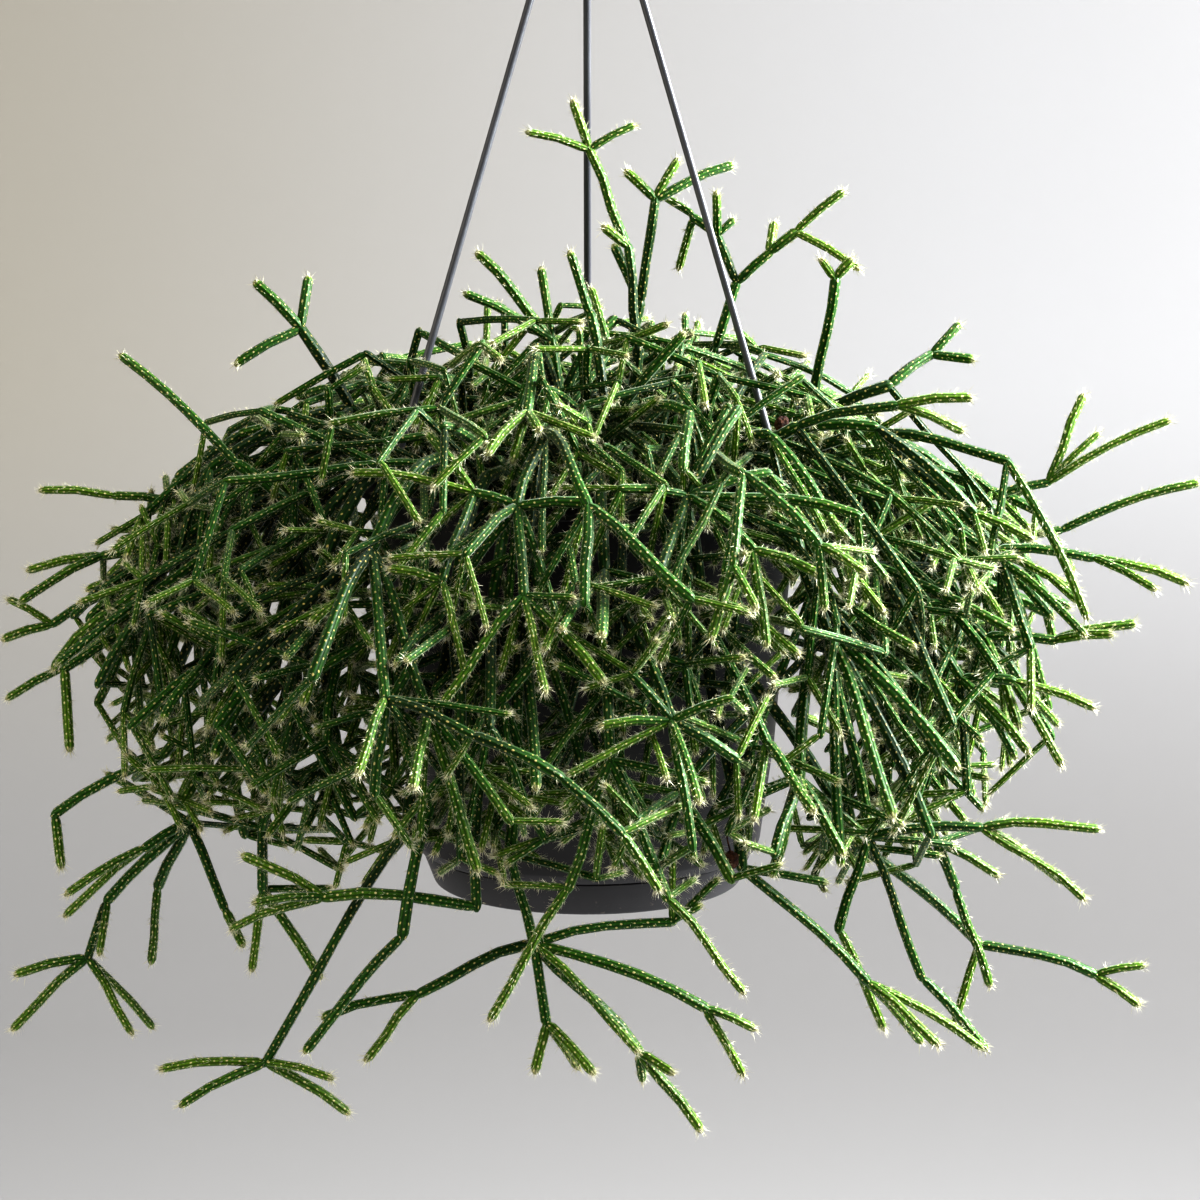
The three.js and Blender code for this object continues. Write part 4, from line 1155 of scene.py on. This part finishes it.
def pale_wall_painted_light_and_shade():
    """Pale paint with painted light and shade: painted warm shade makes the left of the room warmer and
    darker than the right, painted cool light makes the right paler, and painted shade turns the floor grey.
    """
    paint = Paint("pale_wall_painted_light_and_shade")
    split = paint.split(paint.place())
    # Painted light and shade: warm and darker on the left, cool and paler on the right.
    hue = paint.mixed(paint.ranged(split["X"], -0.9, 0.5), SHADED_WALL_LEFT, LIT_WALL_RIGHT)
    # Painted shade: the paint turns grey from partway up the curve down to the floor.
    hue = paint.mixed(paint.ranged(split["Z"], -0.5, -1.0), hue, SHADED_FLOOR_GREY)
    cloud = paint.calculated("MULTIPLY", paint.noise(0.6, 0), 0.2)
    paint.plug("Base Color", paint.mixed(cloud, hue, CLOUD_GREY))
    paint.plug("Roughness", 0.9)
    return paint.material


skin_material = skin_of_stems()
bristle_material = bristle_hair()
pot_material = moulded_plastic("charcoal_plastic", DARK_POT, WORN_POT, 0.46, 0.35)
hanger_material = moulded_plastic("hanger_plastic", DARK_HANGER, WORN_HANGER, 0.38)
peat_material = crumbled("peat", (260, 5, 0.7), DARK_PEAT, DRY_PEAT, (0.35, 0.7), 0.002, 0.95)
flower_material = crumbled("dried_petal", (700, 4, 0.65), DARK_PETAL, DRY_PETAL, (0.35, 0.68), 0.0006, 0.85)
wall_material = pale_wall_painted_light_and_shade()


# Pot, saucer and soil

TURNED_SIDES = 96
POT_SIDE = [(SHOULDER_RADIUS, 15), (65.8, 50), (69.7, 97), (MOUTH_RADIUS, RIM_HEIGHT)]


def pot_radius(height):
    """The pot's outer radius at a height."""
    heights = [low for _, low in POT_SIDE]
    return float(np.interp(height, heights, [radius for radius, _ in POT_SIDE]))


def turned(profile, sides=TURNED_SIDES):
    """Turns a profile of (radius, height) points from axis to axis round the upright axis."""
    profile = np.asarray(profile, dtype=float)
    ring = profile[1:-1]
    angle = 2 * np.pi * np.arange(sides) / sides
    points = np.stack(
        [
            ring[:, None, 0] * np.cos(angle),
            ring[:, None, 0] * np.sin(angle),
            np.broadcast_to(ring[:, None, 1], (len(ring), sides)),
        ],
        2,
    ).reshape(-1, 3)
    points = np.vstack([points, (0, 0, profile[0][1]), (0, 0, profile[-1][1])])
    row, k = np.meshgrid(np.arange(len(ring) - 1), np.arange(sides), indexing="ij")
    row, k = row.ravel(), k.ravel()
    a, b = row * sides + k, row * sides + (k + 1) % sides
    quads = np.concatenate([np.stack([a, b, b + sides], 1), np.stack([a, b + sides, a + sides], 1)])
    k = np.arange(sides)
    first_pole, last_pole = len(ring) * sides, len(ring) * sides + 1
    last = (len(ring) - 1) * sides
    start_fan = np.stack([(k + 1) % sides, k, np.full(sides, first_pole)], 1)
    end_fan = np.stack([last + k, last + (k + 1) % sides, np.full(sides, last_pole)], 1)
    return points, np.concatenate([quads, start_fan, end_fan])


def plain_object(name, points, corners, material, smooth=True):
    surface = Surface()
    surface.gather(points, corners, np.zeros((len(corners), 3, 2)), 0.0, 0)
    return surface.as_object(name, [material], smooth)


def rounded(profile, radius=0.5, steps=3):
    """The profile with each corner off the axis cut by a small arc."""
    path = [profile[0]]
    for before, corner, after in zip(profile, profile[1:], profile[2:]):
        before, corner, after = (np.array(point, dtype=float) for point in (before, corner, after))
        to_before, to_after = before - corner, after - corner
        reach = min(radius, 0.4 * np.linalg.norm(to_before), 0.4 * np.linalg.norm(to_after))
        start = corner + to_before / np.linalg.norm(to_before) * reach
        end = corner + to_after / np.linalg.norm(to_after) * reach
        for step in range(steps + 1):
            t = step / steps
            path.append(tuple((1 - t) ** 2 * start + 2 * t * (1 - t) * corner + t * t * end))
    path.append(profile[-1])
    return path


def upright_rod(name, start, end, radius):
    points, corners, _ = swept([start, end], [radius, radius], 24)
    return plain_object(name, points, corners, pot_material)


def cut_holes(piece, rods):
    """Cuts the rods out of a piece, and removes them."""
    for tool in rods:
        cut = piece.modifiers.new("hole", "BOOLEAN")
        cut.operation = "DIFFERENCE"
        cut.solver = "EXACT"
        cut.object = tool
    bpy.context.view_layer.update()
    evaluated = piece.evaluated_get(bpy.context.evaluated_depsgraph_get())
    mesh = bpy.data.meshes.new_from_object(evaluated)
    piece.modifiers.clear()
    piece.data = mesh
    for tool in rods:
        bpy.data.objects.remove(tool)


def shade_by_angle(piece, limit=35):
    """Smooth shading, but for edges that turn by more than the limit."""
    mesh = piece.data
    mesh.shade_smooth()
    mesh.set_sharp_from_angle(angle=radians(limit))


def make_pot():
    bead_top = SAUCER_HEIGHT - SAUCER_LIP - GAP
    floor_top = FLOOR_UNDERSIDE + WALL
    flange_underside = RIM_HEIGHT - RIM_THICKNESS

    def inside(height):
        return (pot_radius(height) - WALL, height)

    profile = [
        (0, FLOOR_UNDERSIDE),
        (FOOT_RADIUS - 4, FLOOR_UNDERSIDE),
        (FOOT_RADIUS - 4, SAUCER_FLOOR + GAP),
        (FOOT_RADIUS, SAUCER_FLOOR + GAP),
        (FOOT_RADIUS, bead_top - FOOT_BEAD),
        (FOOT_RADIUS + FOOT_BEAD, bead_top - 0.8),
        (FOOT_RADIUS + FOOT_BEAD, bead_top),
        (FOOT_RADIUS, bead_top),
        (FOOT_RADIUS, SHOULDER_HEIGHT),
        (SHOULDER_RADIUS - 1.4, SHOULDER_HEIGHT),
        *POT_SIDE[:-1],
        (pot_radius(flange_underside), flange_underside),
        (RIM_RADIUS, flange_underside),
        (RIM_RADIUS, RIM_HEIGHT),
        inside(RIM_HEIGHT),
        inside(97),
        inside(50),
        inside(SHOULDER_HEIGHT + WALL),
        (FOOT_RADIUS - WALL, SHOULDER_HEIGHT + WALL),
        (FOOT_RADIUS - WALL, floor_top),
        (0, floor_top),
    ]
    pot = plain_object("pot_shell", *turned(rounded(profile)), pot_material)
    rods = []
    for i in range(DRAIN_HOLES):
        x, y, _ = around(360 * i / DRAIN_HOLES, DRAIN_CIRCLE_RADIUS, 0)
        rods.append(upright_rod(f"drain_{i}", (x, y, 0), (x, y, floor_top + 4), DRAIN_HOLE_RADIUS))
    for side, azimuth in LEG_AZIMUTHS.items():
        low, high = leg_point(azimuth, 130), leg_point(azimuth, 150)
        rods.append(upright_rod(f"leg_hole_{side}", low, high, LEG_RADIUS + GAP))
    cut_holes(pot, rods)
    shade_by_angle(pot)
    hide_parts("pot")
    return pot


def make_saucer():
    def inner(height):
        share = height / SAUCER_HEIGHT
        return SAUCER_BASE_RADIUS + share * (SAUCER_RIM_RADIUS - SAUCER_BASE_RADIUS) - WALL

    lip_underside = SAUCER_HEIGHT - SAUCER_LIP
    profile = [
        (0, 0),
        (SAUCER_BASE_RADIUS, 0),
        (SAUCER_RIM_RADIUS, SAUCER_HEIGHT),
        (FOOT_RADIUS + GAP, SAUCER_HEIGHT),
        (FOOT_RADIUS + GAP, lip_underside),
        (inner(lip_underside), lip_underside),
        (inner(SAUCER_FLOOR), SAUCER_FLOOR),
        (0, SAUCER_FLOOR),
    ]
    saucer = plain_object("saucer_shell", *turned(rounded(profile, 0.9)), pot_material)
    shade_by_angle(saucer)
    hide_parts("saucer")
    return saucer


def make_soil():
    """Soil with a crumbly top, which stays under the flat top of its solid."""
    shoulder_top = SHOULDER_HEIGHT + WALL + GAP
    foot_radius = FOOT_RADIUS - WALL - GAP
    floor_top = FLOOR_UNDERSIDE + WALL + GAP
    edge = pot_radius(SOIL_HEIGHT) - WALL - GAP
    sides = 72
    profile = [
        (0, floor_top),
        (foot_radius, floor_top),
        (foot_radius, shoulder_top),
        *((pot_radius(height) - WALL - GAP, height) for height in (shoulder_top, 50, 97)),
        *((radius, SOIL_HEIGHT) for radius in np.linspace(edge, 3, 26)),
        (0, SOIL_HEIGHT),
    ]
    points, corners = turned(profile, sides)
    generator = np.random.default_rng(FILL_SEED)
    top = points[:, 2] > SOIL_HEIGHT - 0.1
    points[top, 2] -= generator.uniform(0, 2.4, int(top.sum()))
    soil = plain_object("soil_surface", points, corners, peat_material)
    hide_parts("soil")
    return soil


# Hanger

def make_leg(side, azimuth):
    """A thin leg with a head under the rim and one above the hub."""
    slant = math.sqrt(1 + LEG_SLOPE * LEG_SLOPE)
    tilt = LEG_HEAD_RADIUS * LEG_SLOPE
    low_top = RIM_HEIGHT - RIM_THICKNESS - GAP - tilt
    low_bottom = low_top - LEG_HEAD_LENGTH / slant
    high_bottom = HUB_TOP + GAP + tilt
    high_top = high_bottom + LEG_HEAD_LENGTH / slant
    lip = 0.35
    stations = [
        (low_bottom, LEG_HEAD_RADIUS - lip),
        (low_bottom + lip, LEG_HEAD_RADIUS),
        (low_top - lip, LEG_HEAD_RADIUS),
        (low_top, LEG_HEAD_RADIUS - lip),
        (low_top + 0.01, LEG_RADIUS),
        (high_bottom - 0.01, LEG_RADIUS),
        (high_bottom, LEG_HEAD_RADIUS - lip),
        (high_bottom + lip, LEG_HEAD_RADIUS),
        (high_top - lip, LEG_HEAD_RADIUS),
        (high_top, LEG_HEAD_RADIUS - lip),
    ]
    line = [leg_point(azimuth, height) for height, _ in stations]
    points, corners, _ = swept(line, [radius for _, radius in stations], 20)
    leg = plain_object(f"leg_{side}", points, corners, hanger_material)
    shade_by_angle(leg)
    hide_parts(f"hanger_leg_{side}")
    return leg


def hook_line():
    """The line of the hook's rod, from inside the hub up and round to its open end."""
    bend = HOOK_INNER_RADIUS + HOOK_ROD_RADIUS
    centre = HOOK_BEARING_HEIGHT - HOOK_INNER_RADIUS
    guide = [(0, 0, HUB_TOP - 3), (0, 0, HUB_TOP + 4), (bend * 0.36, 0, centre - bend * 0.95)]
    for angle in (-40, 0, 30, 60, 90, 120, 150, 180, 205):
        guide.append((bend * math.cos(radians(angle)), 0, centre + bend * math.sin(radians(angle))))
    guide = np.array(guide)
    ahead = 2 * guide[0] - guide[1]
    beyond = 2 * guide[-1] - guide[-2]
    knots = np.vstack([ahead, guide, beyond])
    line = []
    for p0, p1, p2, p3 in zip(knots, knots[1:], knots[2:], knots[3:]):
        gaps = [np.linalg.norm(b - a) ** 0.5 for a, b in ((p0, p1), (p1, p2), (p2, p3))]
        leave = ((p1 - p0) / gaps[0] - (p2 - p0) / (gaps[0] + gaps[1]) + (p2 - p1) / gaps[1]) * gaps[1]
        arrive = ((p2 - p1) / gaps[1] - (p3 - p1) / (gaps[1] + gaps[2]) + (p3 - p2) / gaps[2]) * gaps[1]
        for t in np.linspace(0, 1, 6)[:-1]:
            line.append(
                (2 * t**3 - 3 * t**2 + 1) * p1
                + (t**3 - 2 * t**2 + t) * leave
                + (3 * t**2 - 2 * t**3) * p2
                + (t**3 - t**2) * arrive
            )
    line.append(guide[-1])
    return line


def make_hook():
    hub_profile = [(0, HUB_UNDERSIDE), (HUB_RADIUS, HUB_UNDERSIDE), (HUB_RADIUS, HUB_TOP), (0, HUB_TOP)]
    hub = plain_object("hook_hub", *turned(rounded(hub_profile, 1.5), 64), hanger_material)
    rods = []
    for side, azimuth in LEG_AZIMUTHS.items():
        low, high = leg_point(azimuth, HUB_UNDERSIDE - 3), leg_point(azimuth, HUB_TOP + 3)
        rods.append(upright_rod(f"hub_hole_{side}", low, high, LEG_RADIUS + GAP))
    cut_holes(hub, rods)
    shade_by_angle(hub)

    line = hook_line()
    points, corners, _ = swept(line, [HOOK_ROD_RADIUS] * len(line), 20)
    rod = plain_object("hook_rod", points, corners, hanger_material)
    shade_by_angle(rod)

    ball = HOOK_ROD_RADIUS + 0.6
    angle = np.linspace(-90, 90, 15)
    arc = [(ball * math.cos(radians(a)), ball * math.sin(radians(a))) for a in angle]
    points, corners = turned([(0, -ball), *arc[1:-1], (0, ball)], 24)
    knob = plain_object("hook_ball", points + line[-1], corners, hanger_material)
    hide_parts("hanger_hook")
    return [hub, rod, knob]


# Dried flowers

STALK_BENDS = [(0, 0, 1.8), (-1.2, 0, 6.5), (-1.6, 0, 10.0), (-0.4, 0, 12.6), (3.0, 0, 13.6)]
STALK_RADII = [0.36, 0.3, 0.34, 0.26, 0.22]


def make_dried_flower(name, stems, flower, seed, with_stalk):
    """A crumpled bud of folded petals, with a thin bent stalk where one is wanted."""
    generator = np.random.default_rng(seed)
    centre = np.array(flower_centre(stems, flower))
    rings, sides = 14, 28
    surface = Surface()
    profile = [(0, -1.0)]
    for angle in np.linspace(-80, 80, rings):
        profile.append((math.cos(radians(angle)), math.sin(radians(angle))))
    profile.append((0, 1.0))
    points, corners = turned(profile, sides)
    azimuth = np.arctan2(points[:, 1], points[:, 0])
    folds = 0.80 + 0.14 * np.abs(np.sin(2.5 * azimuth + 1.3 * points[:, 2]))
    folds = folds + generator.uniform(0, 0.13, len(points))
    points = points * folds[:, None] * np.array((1, 1, FLOWER_LENGTHENING)) * DRIED_FLOWER_RADIUS
    surface.gather(points + centre, corners, np.zeros((len(corners), 3, 2)), 0.0, 0)
    if with_stalk:
        line = np.array(STALK_BENDS) + centre
        points, corners, maps = swept(line, STALK_RADII, 6)
        surface.gather(points, corners, maps, 0.0, 0)
    piece = surface.as_object(f"{name}_petals", [flower_material], smooth=False)
    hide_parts(name)
    return piece


# The whole plant

FRONT_TO = -25
MIDDLE_TO = 55
CENTRE_HALF_WIDTH = 42


def group_of(stems):
    """The piece that a plant part belongs to, by where it grows."""
    x = sum(stem.end[0] for stem in stems) / len(stems)
    y = sum(stem.end[1] for stem in stems) / len(stems)
    depth = "front" if y < FRONT_TO else "middle" if y < MIDDLE_TO else "back"
    side = "left" if x < 0 else "right"
    if depth == "front" and abs(x) < CENTRE_HALF_WIDTH:
        side = "centre"
    return f"stems_{depth}_{side}"


plant_parts = plant_stems()
source_parts = list(plant_parts)
fill_mound(plant_parts)
groups = {}
for part_name, part_stems in plant_parts.items():
    groups.setdefault(group_of(part_stems), []).append(part_name)
pieces = []
for i, (group_name, members) in enumerate(sorted(groups.items())):
    piece = stem_piece(group_name, [plant_parts[member] for member in members], FIRST_SEED + 13 * i)
    replaced = [f"stem_{member}" for member in members if member in source_parts]
    if replaced:
        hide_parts(*replaced)
    pieces.append(piece)

pot_pieces = [make_pot(), make_saucer()]
soil_piece = make_soil()
hanger_pieces = make_hook()
for leg_side, leg_azimuth in LEG_AZIMUTHS.items():
    hanger_pieces.append(make_leg(leg_side, leg_azimuth))
flower_pieces = []
for i, (flower_name, flower) in enumerate(DRIED_FLOWERS.items()):
    piece = make_dried_flower(flower_name, plant_parts[flower["on"]], flower, FIRST_SEED + i, i == 0)
    flower_pieces.append(piece)
for piece in [*pieces, *pot_pieces, soil_piece, *hanger_pieces, *flower_pieces]:
    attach(piece, "root")


# Room, lights and camera

FLOOR_LEVEL = -1.0
ROOM_RADIUS = 3.2
ROOM_CURVE = 1.3
ROOM_TOP = 2.6
PLANT = (0, 0, -0.3)
WORLD_COLOUR = (0.95, 0.96, 1.0)
WORLD_STRENGTH = 0.05
LIGHT_BOUNCES = 2
VIEW_PITCH = 10
VIEW_DISTANCE = 1.3
VIEW_CENTRE = Vector((0.0045, 0, -0.2916))
VIEW_LENS = 111.4

# Each light's place, what it points at, its width, its power in watts and its tint.
LIGHTS = {
    "window_right": ((1.05, 0.1, 0.2), PLANT, 0.7, 84, (0.95, 0.98, 1.0)),
    "sky_above": ((-0.1, -0.3, 1.7), PLANT, 0.8, 14, (1.0, 0.98, 0.92)),
    "window_front": ((1.0, -1.6, 0.4), PLANT, 1.0, 7, (0.97, 0.98, 1.0)),
    "lamp_left": ((-1.7, -0.9, 0.3), PLANT, 1.0, 14, (1.0, 0.93, 0.80)),
    "wall_right": ((1.6, 1.8, 0.5), (0.7, 3.1, -0.1), 0.8, 27, (0.98, 0.99, 1.0)),
    "wall_left": ((-1.5, 1.8, 0.4), (-0.9, 2.8, -0.3), 0.8, 0.6, (1.0, 0.90, 0.76)),
}


def make_room():
    """A round floor that curves up into a plain wall, the same from every side."""
    profile = [(0, FLOOR_LEVEL)]
    for radius in np.linspace(0.6, ROOM_RADIUS - ROOM_CURVE, 4):
        profile.append((radius, FLOOR_LEVEL))
    for angle in range(10, 91, 10):
        across = ROOM_RADIUS - ROOM_CURVE + ROOM_CURVE * math.sin(radians(angle))
        profile.append((across, FLOOR_LEVEL + ROOM_CURVE * (1 - math.cos(radians(angle)))))
    profile.append((ROOM_RADIUS, ROOM_TOP))
    angle = 2 * np.pi * np.arange(TURNED_SIDES) / TURNED_SIDES
    rows = []
    for radius, height in profile[1:]:
        level = np.full(TURNED_SIDES, height)
        rows.append(np.stack([radius * np.cos(angle), radius * np.sin(angle), level], 1))
    points = np.vstack([*rows, (0, 0, FLOOR_LEVEL)])
    faces = []
    for i in range(len(rows) - 1):
        for k in range(TURNED_SIDES):
            a, b = i * TURNED_SIDES + k, i * TURNED_SIDES + (k + 1) % TURNED_SIDES
            faces.append((a, a + TURNED_SIDES, b + TURNED_SIDES, b))
    for k in range(TURNED_SIDES):
        faces.append((k, (k + 1) % TURNED_SIDES, len(points) - 1))
    mesh = bpy.data.meshes.new("room")
    mesh.from_pydata(points.tolist(), [], faces)
    mesh.shade_smooth()
    mesh.materials.append(wall_material)
    room = bpy.data.objects.new("room", mesh)
    bpy.context.scene.collection.objects.link(room)


def area_light(name, position, target, width, power, tint):
    data = bpy.data.lights.new(name, "AREA")
    data.shape = "SQUARE"
    data.size = width
    data.energy = power
    data.color = tint
    light = bpy.data.objects.new(name, data)
    light.location = position
    light.visible_camera = False
    light.rotation_euler = (Vector(target) - Vector(position)).to_track_quat("-Z", "Y").to_euler()
    bpy.context.scene.collection.objects.link(light)


def make_lights():
    for name, light in LIGHTS.items():
        area_light(name, *light)
    world = bpy.data.worlds.new("soft_room")
    world.use_nodes = True
    background = world.node_tree.nodes["Background"]
    background.inputs["Color"].default_value = (*WORLD_COLOUR, 1.0)
    background.inputs["Strength"].default_value = WORLD_STRENGTH
    bpy.context.scene.world = world
    bpy.context.scene.view_settings.view_transform = "Standard"
    bpy.context.scene.view_settings.look = "High Contrast"
    bpy.context.scene.cycles.diffuse_bounces = LIGHT_BOUNCES
    bpy.context.scene.cycles.glossy_bounces = LIGHT_BOUNCES


def make_camera():
    data = bpy.data.cameras.new("photo_view")
    data.sensor_width = 36
    data.lens = VIEW_LENS
    camera = bpy.data.objects.new("photo_view", data)
    pitch = radians(VIEW_PITCH)
    camera.location = VIEW_CENTRE + VIEW_DISTANCE * Vector((0, -math.cos(pitch), math.sin(pitch)))
    camera.rotation_euler = (radians(90) - pitch, 0, 0)
    bpy.context.scene.collection.objects.link(camera)
    bpy.context.scene.camera = camera


make_room()
make_lights()
make_camera()
